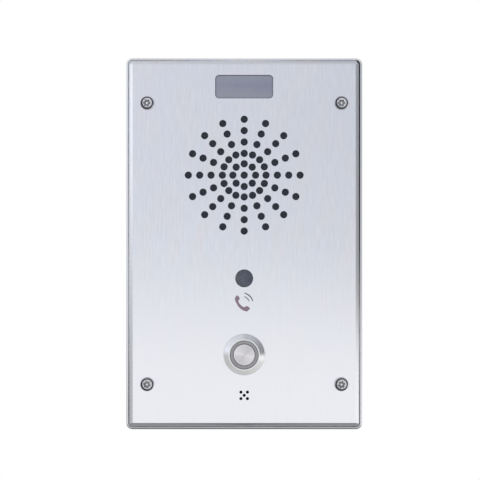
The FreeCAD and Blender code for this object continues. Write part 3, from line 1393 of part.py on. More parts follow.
def lead(points):
    """A round lead along straight runs that are joined by tangent arcs."""
    radius = worked_out("lead_radius")
    share = worked_out("lead_bend_share")
    spots = [Vector(*(worked_out(place) for place in point)) for point in points]
    edges = []
    bends = []
    here = spots[0]
    for before, corner, after in zip(spots, spots[1:], spots[2:]):
        shorter = min((before - corner).Length, (after - corner).Length)
        towards = (before - corner).normalize()
        away = (after - corner).normalize()
        half_turn = (math.pi - towards.getAngle(away)) / 2
        reach = share * shorter
        bend = reach / math.tan(half_turn)
        start = corner + towards * reach
        end = corner + away * reach
        inward = (towards + away).normalize()
        middle = corner + inward * (bend / math.cos(half_turn) - bend)
        edges.append(Part.makeLine(here, start))
        edges.append(Part.Arc(start, middle, end).toShape())
        bends.append(bend)
        here = end
    edges.append(Part.makeLine(here, spots[-1]))
    way = Part.Wire(edges)
    circle = Part.Wire(Part.makeCircle(radius, spots[0], spots[1] - spots[0]))
    tube = way.makePipeShell([circle], True, False)
    expected = math.pi * radius**2 * way.Length
    print(f"lead of {way.Length:.1f} mm, bends of {', '.join(f'{bend:.1f}' for bend in bends)} mm, "
          f"volume {tube.Volume:.2f} of {expected:.2f}")
    return tube


def make_inner_leads():
    """Pairs of leads from the board's sockets to loudspeaker, light, button and microphone."""
    floor = "(socket_wall + lead_end_gap)"
    rise = "(socket_height + lead_rise)"
    lug_y = (f"({speaker_up} - speaker_radius + (basket_flange - basket_sheet) / 2"
             " + lug_strip_set + lug_sheet / 2)")
    lug_z = f"(standoff_length - {basket_top} - 2 * basket_sheet - lug_length + lead_radius * 2)"
    light_z = "(standoff_length - light_board_drop - board_thickness)"
    blade_y = f"({button_up} - (blade_pitch + blade_sheet) / 2)"
    blade_z = (f"({plate_front} - {board_front} - button_length - block_flange - block_tail"
               " - blade_length / 2)")
    boot_z = "(standoff_length - mic_boot_height)"
    speaker_x, speaker_y = socket_places["speaker"]
    light_x, light_y = socket_places["light"]
    button_x, button_y = socket_places["button"]
    mic_x, mic_y = socket_places["mic"]
    tubes = []
    for side in (-1, 1):
        shift = f"({side} * lead_pitch / 2)"
        lug_x = f"({side} * lug_pitch / 2)"
        tubes.append(lead([
            (f"{speaker_x} + {shift}", speaker_y, floor),
            (f"{speaker_x} + {shift}", speaker_y, rise),
            (lug_x, f"{lug_y} + lead_run", lug_z),
            (lug_x, lug_y, lug_z)]))
        edge_x = f"({board_right_edge} + {shift})"
        board_x = f"(light_board_width / 2 - lead_run + {shift})"
        tubes.append(lead([
            (f"{light_x} + {shift}", light_y, floor),
            (f"{light_x} + {shift}", light_y, rise),
            (edge_x, f"{light_y} + 2 * lead_run", rise),
            (edge_x, speaker_up, f"{rise} + light_lead_climb"),
            (edge_x, f"{window_up} - 4 * lead_run", f"{rise} + light_lead_climb"),
            (board_x, f"{window_up} - lead_run / 2", f"{light_z} - lead_run"),
            (board_x, f"{window_up} - lead_run / 2", light_z)]))
        blade_x = f"({side} * blade_pitch / 2)"
        tubes.append(lead([
            (f"{button_x} + {shift}", button_y, floor),
            (f"{button_x} + {shift}", button_y, "(socket_height + lead_low_rise)"),
            (blade_x, f"{blade_y} - lead_run", blade_z),
            (blade_x, blade_y, blade_z)]))
        tubes.append(lead([
            (mic_x, f"{mic_y} + {shift}", floor),
            (mic_x, f"{mic_y} + {shift}", rise),
            ("0", f"{mic_y} + {shift}", rise),
            ("0", f"{mic_y} + {shift}", boot_z)]))
    wires = doc.addObject("Part::Feature", "inner_leads")
    wires.Shape = Part.Compound(tubes)
    wires.Label = "inner_leads"
    stand_up(wires, "0", "0", board_front)


MAKERS = (
    make_housing_band, make_rear_panel, make_cable_grommet, make_earth_stud, make_seat_frame,
    make_press_nuts, make_plate_gasket, make_front_plate, make_plate_screws,
    make_light_window, make_light_gasket, make_light_board, make_light_leds, make_light_spacers,
    make_light_screws,
    make_speaker_mesh, make_speaker_gasket, make_speaker_basket, make_speaker_surround,
    make_speaker_cone, make_speaker_dust_cap, make_speaker_voice_coil, make_speaker_spider,
    make_speaker_top_plate, make_speaker_magnet, make_speaker_yoke, make_speaker_terminals,
    make_speaker_studs, make_speaker_clamps, make_speaker_nuts,
    make_camera_window, make_camera_lens_barrel, make_camera_front_lens, make_camera_lens_holder,
    make_camera_sensor, make_camera_board, make_camera_standoffs, make_camera_screws,
    make_camera_ribbon,
    make_button_housing, make_button_seal, make_button_nut, make_button_light_ring,
    make_button_actuator, make_button_spring, make_button_contact_block, make_button_terminals,
    make_mic_boot, make_mic_capsule,
    make_main_board, make_board_standoffs, make_board_screws, make_network_jack,
    make_terminal_block, make_terminal_screws, make_board_chips, make_heat_sink, make_capacitors,
    make_lead_sockets, make_inner_leads,
)


def check_document():
    """Stop where a feature failed or a piece has no valid solid."""
    for thing in doc.Objects:
        if {"Invalid", "Error"} & set(thing.State):
            raise RuntimeError(f"{thing.Name} failed: {thing.State}")
    for thing in PIECES:
        if thing.Shape.isNull() or not thing.Shape.isValid() or not thing.Shape.Solids:
            raise RuntimeError(f"{thing.Label} has no valid solid")


for make in MAKERS:
    make()
doc.recompute()
check_document()
os.makedirs("parts", exist_ok=True)
for thing in PIECES:
    box = thing.Shape.BoundBox
    print(f"{thing.Label:22s} solids {len(thing.Shape.Solids):2d}  volume {thing.Shape.Volume:10.2f}  "
          f"x {box.XMin:7.2f} {box.XMax:7.2f}  y {box.YMin:7.2f} {box.YMax:7.2f}  "
          f"z {box.ZMin:7.2f} {box.ZMax:7.2f}")
    thing.Shape.exportStep(f"parts/{thing.Label}.step")
print(f"{len(PIECES)} nodes")
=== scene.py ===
# %% [markdown]
# # A stainless door station
# The object is a flat intercom panel for a wall: a shallow box of folded sheet, closed by a thick
# brushed plate that carries a loudspeaker, a camera, a light, a call button and a microphone. The
# imported model is loaded first, as a fixed frame in metres.

# %% Load the frame
import json
import math

import bmesh
import bpy
from mathutils import Matrix, Vector

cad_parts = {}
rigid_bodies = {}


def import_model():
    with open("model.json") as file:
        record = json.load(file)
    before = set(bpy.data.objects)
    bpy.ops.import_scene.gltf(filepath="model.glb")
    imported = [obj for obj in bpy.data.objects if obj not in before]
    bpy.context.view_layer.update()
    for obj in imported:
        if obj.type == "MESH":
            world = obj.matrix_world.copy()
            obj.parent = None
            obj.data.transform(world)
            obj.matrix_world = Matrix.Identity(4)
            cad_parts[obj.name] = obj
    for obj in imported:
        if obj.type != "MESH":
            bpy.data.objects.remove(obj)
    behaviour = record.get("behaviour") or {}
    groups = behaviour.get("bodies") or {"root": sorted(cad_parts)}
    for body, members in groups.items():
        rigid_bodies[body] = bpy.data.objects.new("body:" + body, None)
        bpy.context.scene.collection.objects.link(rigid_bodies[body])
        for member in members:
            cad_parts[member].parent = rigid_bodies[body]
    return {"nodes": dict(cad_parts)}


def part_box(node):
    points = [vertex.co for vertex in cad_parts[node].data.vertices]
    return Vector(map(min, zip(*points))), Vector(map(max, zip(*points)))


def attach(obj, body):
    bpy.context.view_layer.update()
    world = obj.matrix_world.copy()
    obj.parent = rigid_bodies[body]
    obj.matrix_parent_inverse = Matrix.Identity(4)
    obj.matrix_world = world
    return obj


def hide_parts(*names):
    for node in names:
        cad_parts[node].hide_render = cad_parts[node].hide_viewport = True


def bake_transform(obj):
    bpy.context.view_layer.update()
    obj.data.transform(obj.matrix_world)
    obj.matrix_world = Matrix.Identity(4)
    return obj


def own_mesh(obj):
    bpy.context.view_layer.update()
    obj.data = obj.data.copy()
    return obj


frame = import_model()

scene = bpy.context.scene
scene.view_settings.view_transform = "Standard"
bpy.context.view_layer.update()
MM = 0.001


# %% [markdown]
# Some measures come up again and again, so they get names here, all in millimetres. Heights count
# from the middle of the panel. Depths count from the wall, and are negative because the front
# faces -Y.

# %% Measures
light_up, speaker_up, camera_up, button_up, mic_up = 84.3, 36.8, -18.6, -59.5, -81.4
plate_back, board_front, board_back = -47.0, -19.6, -18.0
box_width, box_height, sheet_thick = 127.3, 200.0, 1.2
screws_across, screws_up = 104.2, 150.8
board_up, posts_across, posts_up = -52.0, 80.0, 72.0
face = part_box("front_plate")[0].y
print("the plate's face lies", round(-face / MM, 2), "mm in front of the wall")

# %% [markdown]
# The panel is seen square on, from a little to the left of its middle and a little above. A long
# lens keeps the sides of the box out of sight, as they are in the picture. The distance follows
# from the frame: 257.6 mm of the plate's face fill the picture from side to side.

# %% Camera
lens, film, frame_width = 100.0, 36.0, 0.2576
aim_across, aim_up = -0.00226, 0.00199

camera_data = bpy.data.cameras.new("square_on")
camera_data.lens, camera_data.sensor_width = lens, film
camera = bpy.data.objects.new("square_on", camera_data)
camera.location = (aim_across, face - frame_width * lens / film, aim_up)
camera.rotation_euler = (math.radians(90), 0, 0)
scene.collection.objects.link(camera)
scene.camera = camera
print("camera stands", round(face - camera.location.y, 3), "m in front of the plate")

# %% [markdown]
# Node trees hold most of the work from here on, so two small classes come first. A `Wire` wraps one
# socket, and each sum written with it adds a Math node, which keeps the shader maths readable. A
# `Recipe` fills one tree: its `node` method makes any node, sets its settings, and then sets or
# links its sockets.

# %% Wires and recipes
def operator(operation, swapped=False):
    """A method for one Math node. Swapped is for a wire that stands to the right of a number."""

    def method(wire, other):
        return wire.recipe.maths(operation, *((other, wire) if swapped else (wire, other)))

    return method


class Wire:
    """A socket that sums can be written with."""

    __add__, __radd__ = operator("ADD"), operator("ADD", True)
    __sub__, __rsub__ = operator("SUBTRACT"), operator("SUBTRACT", True)
    __mul__, __truediv__, __pow__ = operator("MULTIPLY"), operator("DIVIDE"), operator("POWER")
    least, most = operator("MINIMUM"), operator("MAXIMUM")

    def __init__(self, recipe, socket):
        self.recipe, self.socket = recipe, socket

    def __abs__(self):
        return self.maths("ABSOLUTE")

    def maths(self, operation, *others):
        return self.recipe.maths(operation, self, *others)

    def out(self, name):
        """Another output of the same node."""
        return Wire(self.recipe, self.socket.node.outputs[name])

    def towards(self, other, share):
        """This value where share is 0, the other where it is 1."""
        return self + (other - self) * share

    def from_nearest(self, pitch):
        """How far the value lies from the nearest multiple of a pitch."""
        return self - (self / pitch).maths("ROUND") * pitch

    def ramp(self, low, high):
        """0 below low, 1 above high, and a soft step between."""
        return self.recipe.node(
            "ShaderNodeMapRange",
            {"interpolation_type": "SMOOTHSTEP"},
            {"Value": self, "From Min": low, "From Max": high},
        )


class Recipe:
    """One node tree, filled node by node."""

    def __init__(self, tree):
        self.tree = tree

    def join(self, value, socket):
        if isinstance(value, Wire):
            self.tree.links.new(value.socket, socket)
        else:
            socket.default_value = value

    def node(self, kind, settings=None, inputs=None, output=0):
        made = self.tree.nodes.new(kind)
        for name, value in (settings or {}).items():
            setattr(made, name, value)
        for name, value in (inputs or {}).items():
            self.join(value, made.inputs[name])
        return Wire(self, made.outputs[output])

    def maths(self, operation, *terms):
        return self.node("ShaderNodeMath", {"operation": operation}, dict(enumerate(terms)))

    def mix(self, factor, low, high):
        """A colour between two others, which are numbers or wires."""
        low, high = (end if isinstance(end, Wire) else (*end, 1) for end in (low, high))
        return self.node(
            "ShaderNodeMix", {"data_type": "RGBA"}, {0: factor, 6: low, 7: high}, output=2
        )

    def parts(self, vector):
        """The x, y and z of a vector."""
        split = self.node("ShaderNodeSeparateXYZ", inputs={0: vector})
        return split, split.out("Y"), split.out("Z")


def span(across, up):
    """The length of a step that goes across and up."""
    return (across * across + up * up) ** 0.5


# %% [markdown]
# The studio is white, and the camera and clear glass see it as plain white. Metal shows the whole
# room, so its reflections need a real room, with lighter and darker sides. In front it is bright
# low down, and a little grey and blue high up. Ceiling and ground are greyer, the left side is
# bright above, the right side bright below and dark above, and behind the panel all is white. The
# plate's face then grows lighter downwards, and each bevel takes the tone of the side that it
# leans to. Cloth and plastic get an even, plain light.

# %% Room
room = bpy.data.worlds.new("white_room")
room.use_nodes = True
recipe = Recipe(room.node_tree)
across, away, up = recipe.parts(recipe.node("ShaderNodeTexCoord", output="Generated"))
high = up.ramp(-0.085, 0.0)
in_front = 1.15 - high * (0.20 + across.ramp(-0.16, 0.16) * 0.16)
above = 0.84 - across.ramp(-0.12, 0.06) * 0.24
on_left = 0.53 + up.ramp(-0.15, 0.12) * 0.74 - up.ramp(0.15, 0.4) * 0.22
on_right = 1.28 - up.ramp(-0.13, -0.045) * 0.95
below = 0.65 + across.ramp(-0.9, 0.9) * 0.28
seen_by_metal = in_front
for side, share in (
    (above, up.ramp(0.3, 0.95)),
    (on_left, (across * -1).ramp(0.3, 1.0)),
    (on_right, across.ramp(0.2, 0.9)),
    (below, (up * -1).ramp(0.25, 0.6)),
    (1.0, away.ramp(0.05, 0.5)),
):
    seen_by_metal = seen_by_metal.towards(side, share)

ray = recipe.node("ShaderNodeLightPath", output="Is Camera Ray")
plain = ray.most(ray.out("Is Transmission Ray"))
glossy = ray.out("Is Glossy Ray") * (1 - plain)
on_matt = (1 - plain) * (1 - ray.out("Is Glossy Ray")) * 0.55
blue_share = glossy * high * (1 - away.ramp(0.0, 0.3))
background = room.node_tree.nodes["Background"]
recipe.join(
    recipe.mix(blue_share, (1, 1, 1), (0.93, 0.955, 1.03)), background.inputs["Color"]
)
recipe.join(plain + glossy * seen_by_metal + on_matt, background.inputs["Strength"])
scene.world = room
print("room", room.name, "nodes", len(room.node_tree.nodes))

# %% [markdown]
# Three large soft lamps shape what isn't metal: a key from the upper left, a weaker fill from the
# right and one from behind. Reflections keep to the room, so that no lamp shows as a spot in the
# polished parts.

# %% Lamps
for name, place, size, power in (
    ("key", (-0.75, -0.75, 0.85), 0.55, 7.0),
    ("fill", (0.95, -0.70, 0.15), 0.70, 3.0),
    ("back", (0.30, 0.90, 0.60), 0.60, 4.0),
):
    light = bpy.data.lights.new(name, "AREA")
    light.shape, light.size, light.energy = "DISK", size, power
    lamp = bpy.data.objects.new(name, light)
    lamp.location = place
    lamp.visible_glossy = False
    lamp.rotation_euler = (-Vector(place)).to_track_quat("-Z", "Y").to_euler()
    scene.collection.objects.link(lamp)

# %% [markdown]
# The panel hangs on a wall, so the floor lies well below it. Close to the object the floor is a
# matt pale sheet that keeps the shadow. Further out it fades to the white of the room for the
# camera and for glass. To metal the floor is a painted glow instead of the lit sheet: a painted
# shadow that is darkest right under the panel, then the room's grey ground, lighter to the right,
# and white far behind.

# %% Floor
floor_up, floor_radius = -0.2, 0.42
floor_mesh = bpy.data.meshes.new("floor")
disc = bmesh.new()
bmesh.ops.create_circle(
    disc,
    cap_ends=True,
    segments=96,
    radius=floor_radius,
    matrix=Matrix.Translation((0, 0, floor_up)),
)
disc.to_mesh(floor_mesh)
disc.free()
floor = bpy.data.objects.new("floor", floor_mesh)
scene.collection.objects.link(floor)

paper = bpy.data.materials.new("white_paper")
paper.use_nodes = True
recipe = Recipe(paper.node_tree)
spot = recipe.node("ShaderNodeTexCoord", output="Object")
across, away, up = recipe.parts(spot)
far = span(across, away).ramp(0.12, 0.30)
ground = 0.64 + across.ramp(-0.3, 0.3) * 0.28
# Painted shadow for metal: the floor's glow is 0.53 in front of the panel's face and 0.10 under and
# behind it.
close = 0.53 - away.ramp(-0.052, -0.025) * 0.43
from_panel = (across * across * 0.2 + away * away) ** 0.5
ray = recipe.node("ShaderNodeLightPath", output="Is Camera Ray")
in_metal = ray.out("Is Glossy Ray") * (1 - ray)
seen = (ray.most(ray.out("Is Transmission Ray")) * far).most(in_metal)
fibre = recipe.node("ShaderNodeTexNoise", inputs={"Vector": spot, "Scale": 900.0, "Detail": 3.0})
matt = paper.node_tree.nodes["Principled BSDF"]
matt.inputs["Base Color"].default_value = (0.74, 0.74, 0.74, 1)
recipe.join(0.80 + fibre * 0.15, matt.inputs["Roughness"])
# Painted glow for metal: the painted shadow near the panel, then a grey ground lighter to the
# right, then white far behind.
mirrored = close.towards(ground, from_panel.ramp(0.075, 0.15)).towards(1.0, away.ramp(0.02, 0.3))
glow = recipe.node(
    "ShaderNodeEmission", inputs={"Strength": (1 - in_metal) + in_metal * mirrored}
)
mixed = recipe.node(
    "ShaderNodeMixShader", inputs={0: seen, 1: Wire(recipe, matt.outputs[0]), 2: glow}
)
recipe.join(mixed, paper.node_tree.nodes["Material Output"].inputs["Surface"])
floor_mesh.materials.append(paper)
print("floor at", round(floor_up / MM), "mm")

# %% [markdown]
# Every finish is one `Finish`: a material with its own recipe, read in millimetres on the object.
# `grain` is noise, which can be drawn out along the axis that a tool ran along, and `relief` turns
# any height into a bump. Numbers that stay the same all over a surface go straight into the
# shader, and only what varies is linked. Pieces find their finish by its name.

# %% Finish
class Finish(Recipe):
    """A material whose patterns are measured in millimetres on the object."""

    def __init__(self, name, **constants):
        material = bpy.data.materials.new("finish_" + name)
        material.use_nodes = True
        super().__init__(material.node_tree)
        self.feed(**constants)

    def feed(self, **values):
        """Sets or links sockets of the shader."""
        for name, value in values.items():
            shader = self.tree.nodes["Principled BSDF"]
            self.join(value, shader.inputs[name.replace("_", " ")])

    def stretched(self, lengths, middle):
        """Places on the object, in steps of these lengths along x, y and z from a middle."""
        return self.node(
            "ShaderNodeMapping",
            inputs={
                "Vector": self.node("ShaderNodeTexCoord", output="Object"),
                "Scale": [1 / (length * MM) for length in lengths],
                "Location": [-value / length for value, length in zip(middle, lengths)],
            },
        )

    def place(self, middle=(0, 0, 0)):
        """The x, y and z of a place, from a middle."""
        return self.parts(self.stretched((1, 1, 1), middle))

    def grain(self, size, detail=2.0, rough=0.5, middle=(0, 0, 0)):
        """Noise from 0 to 1, whose blotches have one size, or one along each axis."""
        lengths = size if isinstance(size, tuple) else (size,) * 3
        return self.node(
            "ShaderNodeTexNoise",
            inputs={
                "Vector": self.stretched(lengths, middle),
                "Scale": 1.0,
                "Detail": detail,
                "Roughness": rough,
            },
        )

    def relief(self, height, depth):
        """A bump from a height of 0 to 1."""
        return self.node("ShaderNodeBump", inputs={"Distance": depth * MM, "Height": height})


def scaled(colour, share):
    """A colour times one number, or times one for each channel."""
    shares = share if isinstance(share, tuple) else (share,) * 3
    return [min(1, value * part) for value, part in zip(colour, shares)]


# %% [markdown]
# The plate is brushed stainless steel. A belt has run up and down it and left fine lines, which
# widen every reflection sideways. Two noises drawn out along Z give the lines: a fine one that only
# roughens the reflection, and a broad faint one that the eye sees as soft streaks. The frame that
# the plate rests on shows only in the gap round it. Down the right side of that gap its colour is
# painted nearly black as painted shade, darkest towards the top.

# %% Brushed steels
def brushed(name, colour, roughness, lines_apart, streak):
    finish = Finish(name, Metallic=1.0, Anisotropic=0.85)
    lines = finish.grain((lines_apart, lines_apart, 26.0), 3.0, 0.6)
    broad = finish.grain((0.9, 0.9, 8.0), 3.0, 0.5, (37, 5, 11))
    cloud = finish.grain((24, 24, 34), 2.0, 0.5, (3, 9, 27))
    warm = finish.grain((9, 9, 22), 2.0, 0.5, (61, 2, 43))
    x, y, z = finish.place()
    worn = 0.25 + z.ramp(-50.0, 5.0) * 0.75
    tone = 0.5 + (broad - 0.5) * worn * 0.8 + (cloud - 0.5) * 0.2
    ends = scaled(colour, 1 - streak), scaled(colour, 1 + streak)
    cool, rosy = (
        finish.mix(tone, *[scaled(end, cast) for end in ends])
        for cast in ((0.985, 1.0, 1.014), (1.014, 0.994, 0.990))
    )
    finish.feed(
        Base_Color=finish.mix((warm.ramp(0.35, 0.65) - 0.5) * worn + 0.5, cool, rosy),
        Roughness=roughness + (lines - 0.5) * 0.10 + (cloud - 0.5) * 0.04,
        Normal=finish.relief(lines * 0.7 + broad * 0.3, 0.003),
    )


brushed("brushed_plate", (0.775, 0.785, 0.815), 0.25, 0.16, 0.10)
brushed("sheet_steel", (0.75, 0.76, 0.785), 0.30, 0.2, 0.06)

finish = Finish("seat_steel")
x, y, z = finish.place()
dirt_and_shade_noise = finish.grain((3, 3, 9), 3.0, 0.6)
in_channel = abs(x).ramp(60.6, 61.2).most(abs(z).ramp(96.9, 97.5))
# Painted shade: the channel down the right side of the gap is painted nearly black, darkest towards
# the top.
painted_gap_shade = (x.ramp(60.0, 61.5) * z.ramp(-95.0, 80.0) + dirt_and_shade_noise * 0.2).ramp(0.1, 0.95) * in_channel
clean = z.ramp(-95.0, -20.0) * (1 - painted_gap_shade)
finish.feed(
    Base_Color=finish.mix(painted_gap_shade, (0.86, 0.87, 0.89), (0.05, 0.05, 0.055)),
    Metallic=(clean * 0.4 + 0.6) * (1 - painted_gap_shade),
    Roughness=0.48 - clean * 0.26 + dirt_and_shade_noise * 0.1,
    Normal=finish.relief(dirt_and_shade_noise, 0.004),
)
print("brushed finishes", [m.name for m in bpy.data.materials if m.name[:7] == "finish_"])

# %% [markdown]
# Turned and polished steel carries rings round its own axis, so its pattern is the distance from
# that axis. Zinc plate is duller and mottled, and brass is warm and stained. The heads of the plate
# screws get a painted shadow near the foot of the dome, thickest at the lower left, painted shade
# in the socket, and a pin that the tool has rubbed bright.

# %% Turned steel, zinc, brass
def turned_steel(name, middle, colour, roughness, depth):
    finish = Finish(name, Metallic=1.0)
    x, y, z = finish.place(middle)
    rings = finish.node(
        "ShaderNodeTexNoise",
        {"noise_dimensions": "1D"},
        {"W": span(x, z) / 0.09, "Scale": 1.0, "Detail": 2.0},
    )
    scuff = finish.grain(1.4, 3.0, 0.6)
    finish.feed(
        Base_Color=finish.mix(
            rings * 0.5 + scuff * 0.5, scaled(colour, 0.95), scaled(colour, 1.04)
        ),
        Roughness=roughness + (rings - 0.5) * 0.12 + (scuff - 0.5) * 0.08,
        Normal=finish.relief(rings, depth),
    )


def plated(name, colour, roughness, mottle=1.2, depth=0.01):
    finish = Finish(name, Metallic=1.0)
    patches, fine = finish.grain(mottle, 4.0, 0.6), finish.grain(0.12)
    finish.feed(
        Base_Color=finish.mix(patches, scaled(colour, 0.82), colour),
        Roughness=roughness + (patches - 0.5) * 0.2 + (fine - 0.5) * 0.08,
        Normal=finish.relief(fine * 0.4 + patches * 0.6, depth),
    )


button_low, button_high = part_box("button_housing")
button_middle = [value / MM for value in (button_low + button_high) / 2]
turned_steel("turned_flange", button_middle, (0.755, 0.755, 0.765), 0.20, 0.003)
turned_steel("turned_cap", button_middle, (0.705, 0.685, 0.70), 0.22, 0.004)
plated("polished_steel", (0.80, 0.81, 0.83), 0.20, 2.5, 0.004)
plated("zinc_plate", (0.62, 0.65, 0.69), 0.34)
plated("contact_brass", (0.78, 0.60, 0.30), 0.30)
plated("nickel_plate", (0.72, 0.69, 0.62), 0.28)
plated("spring_wire", (0.55, 0.56, 0.58), 0.30, 0.8)
plated("aluminium", (0.74, 0.75, 0.77), 0.38, 1.8)
plated("coil_copper", (0.78, 0.38, 0.20), 0.34, 0.6)

finish = Finish("screw_steel")
x, y, z = finish.place()
aside, along = (
    at - at.maths("SIGN") * (pitch / 2) for at, pitch in ((x, screws_across), (z, screws_up))
)
from_axis, leaning = span(aside, along), span(aside - 0.16, along - 0.14)
patches = finish.grain(0.8, 3.0, 0.6)
# Painted shadow near the foot of the dome, off centre so that it is thickest at the lower left, and
# painted shade down in the star socket. Both darken the colour and dull the metal.
foot = (leaning + patches * 0.3).ramp(2.58, 2.88) * (1 - from_axis.ramp(3.28, 3.44))
sunk = (y - (face / MM - 2.0)).ramp(0.0, 0.5) * (1 - from_axis.ramp(1.95, 2.1))
painted_shade = foot.most(sunk * (0.85 - y.ramp(-51.2, -50.75) * 0.35))
rubbed = 1 - from_axis.ramp(0.5, 0.75)
finish.feed(
    Base_Color=finish.mix(
        painted_shade * (1 - rubbed),
        finish.mix(rubbed, (0.60, 0.60, 0.62), (0.92, 0.92, 0.93)),
        (0.030, 0.030, 0.042),
    ),
    Metallic=1 - painted_shade * 0.8,
    Roughness=0.22 + patches * 0.12 + painted_shade * 0.3,
    Normal=finish.relief(patches, 0.01),
)
print("metals made, materials so far", len(bpy.data.materials))

# %% [markdown]
# Rubber, foam, moulded plastic, paper and paint differ in how coarse their surface is and in how
# much it shines. One helper makes them all from a fine grain, a slow mottle and a bump. The jacket
# of the leads is black or red by a number that each lead carries, and a lamp's package is white
# round a yellow dish.

# %% Plastics, rubber, paper, paint
def moulded(name, colour, roughness, grain, depth, mottle=0.12):
    finish = Finish(name)
    fine, slow = finish.grain(grain, 2.0, 0.55), finish.grain(6.0)
    finish.feed(
        Base_Color=finish.mix(
            fine * 0.5 + slow * 0.5, scaled(colour, 1 - mottle), scaled(colour, 1 + mottle)
        ),
        Roughness=roughness + (fine - 0.5) * 0.14 + (slow - 0.5) * 0.10,
        Normal=finish.relief(fine, depth),
    )


moulded("black_rubber", (0.018, 0.018, 0.020), 0.62, 0.18, 0.02)
moulded("seal_rubber", (0.22, 0.22, 0.225), 0.75, 0.3, 0.03)
moulded("grey_foam", (0.06, 0.06, 0.065), 0.92, 0.45, 0.18, 0.3)
moulded("black_plastic", (0.022, 0.022, 0.025), 0.42, 0.2, 0.012)
moulded("white_plastic", (0.80, 0.79, 0.75), 0.40, 0.3, 0.008, 0.03)
moulded("green_plastic", (0.02, 0.22, 0.07), 0.42, 0.3, 0.01, 0.08)
moulded("basket_paint", (0.025, 0.025, 0.028), 0.45, 0.5, 0.02)
moulded("ferrite", (0.055, 0.053, 0.055), 0.55, 0.35, 0.03, 0.2)
moulded("cone_paper", (0.035, 0.033, 0.032), 0.85, 0.5, 0.06, 0.25)
moulded("spider_cloth", (0.42, 0.30, 0.13), 0.85, 0.4, 0.08, 0.15)
moulded("ribbon_film", (0.55, 0.24, 0.05), 0.30, 0.8, 0.004, 0.08)

finish = Finish("lead_jacket")
fine = finish.grain(0.6)
finish.feed(
    Base_Color=finish.mix(
        finish.node("ShaderNodeAttribute", {"attribute_name": "lead"}, output="Fac"),
        finish.mix(fine, (0.022, 0.022, 0.026), (0.036, 0.036, 0.042)),
        finish.mix(fine, (0.34, 0.018, 0.016), (0.46, 0.030, 0.024)),
    ),
    Roughness=0.36 + fine * 0.1,
    Normal=finish.relief(fine, 0.008),
)

finish = Finish("led_package")
x, y, z = finish.place((0, 0, light_up))
lamps_apart, rows_apart = 9, 5.5
from_lamp = span(x.from_nearest(lamps_apart), abs(z) - rows_apart / 2)
dish = (1 - from_lamp.ramp(1.0, 1.15)) * (1 - y.ramp(-40.4, -40.2))
fine = finish.grain(0.3)
finish.feed(
    Base_Color=finish.mix(
        dish,
        finish.mix(fine, (0.74, 0.73, 0.70), (0.80, 0.79, 0.76)),
        finish.mix(fine, (0.72, 0.56, 0.07), (0.80, 0.64, 0.12)),
    ),
    Roughness=0.38 + fine * 0.2,
    Normal=finish.relief(fine, 0.006),
)
print("matt finishes made, materials so far", len(bpy.data.materials))

# %% [markdown]
# A circuit board is green lacquer over copper. The copper tracks run in bundles, now up, now
# across, and show as slightly raised lines of a lighter green. A noise for each square of a grid
# picks the way that the bundle runs there. Where a board screw clamps, the copper is bare and
# tinned in a ring.

# %% Circuit board
square_side, track_pitch = 8, 0.9
finish = Finish("solder_mask", IOR=1.5)
x, y, z = finish.place()
column, row = ((way / square_side).maths("FLOOR") for way in (x, z))
square = finish.node("ShaderNodeCombineXYZ", inputs={0: column, 1: row, 2: y.maths("ROUND")})
upright = finish.node("ShaderNodeTexWhiteNoise", inputs={"Vector": square}, output="Value")
lane = z.towards(x, upright.maths("ROUND")) / track_pitch
track = (abs((lane - lane.maths("FLOOR")) - 0.5) * 2).ramp(0.64, 0.74)
lines = track * (1 - finish.grain(7, 1.0).ramp(0.50, 0.53))
from_post = span(abs(x) - posts_across / 2, abs(z - board_up) - posts_up / 2)
clamped = 1 - from_post.ramp(3.3, 3.45)
dust = finish.grain(2.5, 3.0)
lacquer = finish.mix(
    lines,
    finish.mix(dust, (0.008, 0.070, 0.034), (0.012, 0.090, 0.044)),
    finish.mix(dust, (0.020, 0.135, 0.060), (0.026, 0.160, 0.074)),
)
finish.feed(
    Base_Color=finish.mix(
        clamped, lacquer, finish.mix(dust, (0.60, 0.59, 0.56), (0.68, 0.67, 0.64))
    ),
    Metallic=clamped,
    Roughness=0.30 + dust * 0.12,
    Normal=finish.relief(lines * 0.6 + clamped * 0.4, 0.03),
)
print("circuit board, nodes", len(finish.tree.nodes))

# %% [markdown]
# Three pieces let light through or look as if they do: the smoked window over the lamps, the clear
# window of the camera, and the frosted ring round the button. The smoked one is a dense grey-blue
# with a gloss coat and a painted sheen: lighter towards its top and bottom edges, darker to the
# right.
# The ring is a milky grey with painted shade at its inner and outer edges, and the clear one is
# half see-through. Behind it are the coated lens, whose pale blue colour is a painted reflection,
# and its black barrel.

# %% Windows and lens
finish = Finish("smoked_window", IOR=1.49, Coat_Weight=0.5, Coat_Roughness=0.05)
x, y, z = finish.place()
# Painted sheen: the colour is lighter towards the top and bottom edges of the window and darker to
# the right.
slope = (abs(z - 84.9) * 0.13 - x * 0.010 + 0.18).ramp(0.0, 1.0)
haze, dust = finish.grain((8, 8, 4)), finish.grain(0.35)
finish.feed(
    Base_Color=finish.mix(slope * 0.7 + haze * 0.3, (0.215, 0.225, 0.315), (0.262, 0.285, 0.352)),
    Roughness=0.22 + dust * 0.10,
    Normal=finish.relief(haze, 0.01),
)

finish = Finish(
    "frosted_ring",
    IOR=1.49,
    Subsurface_Weight=0.25,
    Subsurface_Radius=(0.0012, 0.0012, 0.0014),
)
x, y, z = finish.place((0, 0, button_up))
ring_middle = 6.72
# Painted shade: the ring is darker towards its inner and outer edges, where it meets the gaps.
edge = abs(span(x, z) - ring_middle).ramp(0.35, 0.8)
bloom = finish.grain(0.5, 3.0)
finish.feed(
    Base_Color=finish.mix(
        edge,
        finish.mix(bloom, (0.305, 0.310, 0.32), (0.355, 0.36, 0.37)),
        finish.mix(bloom, (0.205, 0.205, 0.215), (0.24, 0.24, 0.25)),
    ),
    Roughness=0.42 + bloom * 0.12,
    Normal=finish.relief(bloom, 0.006),
)

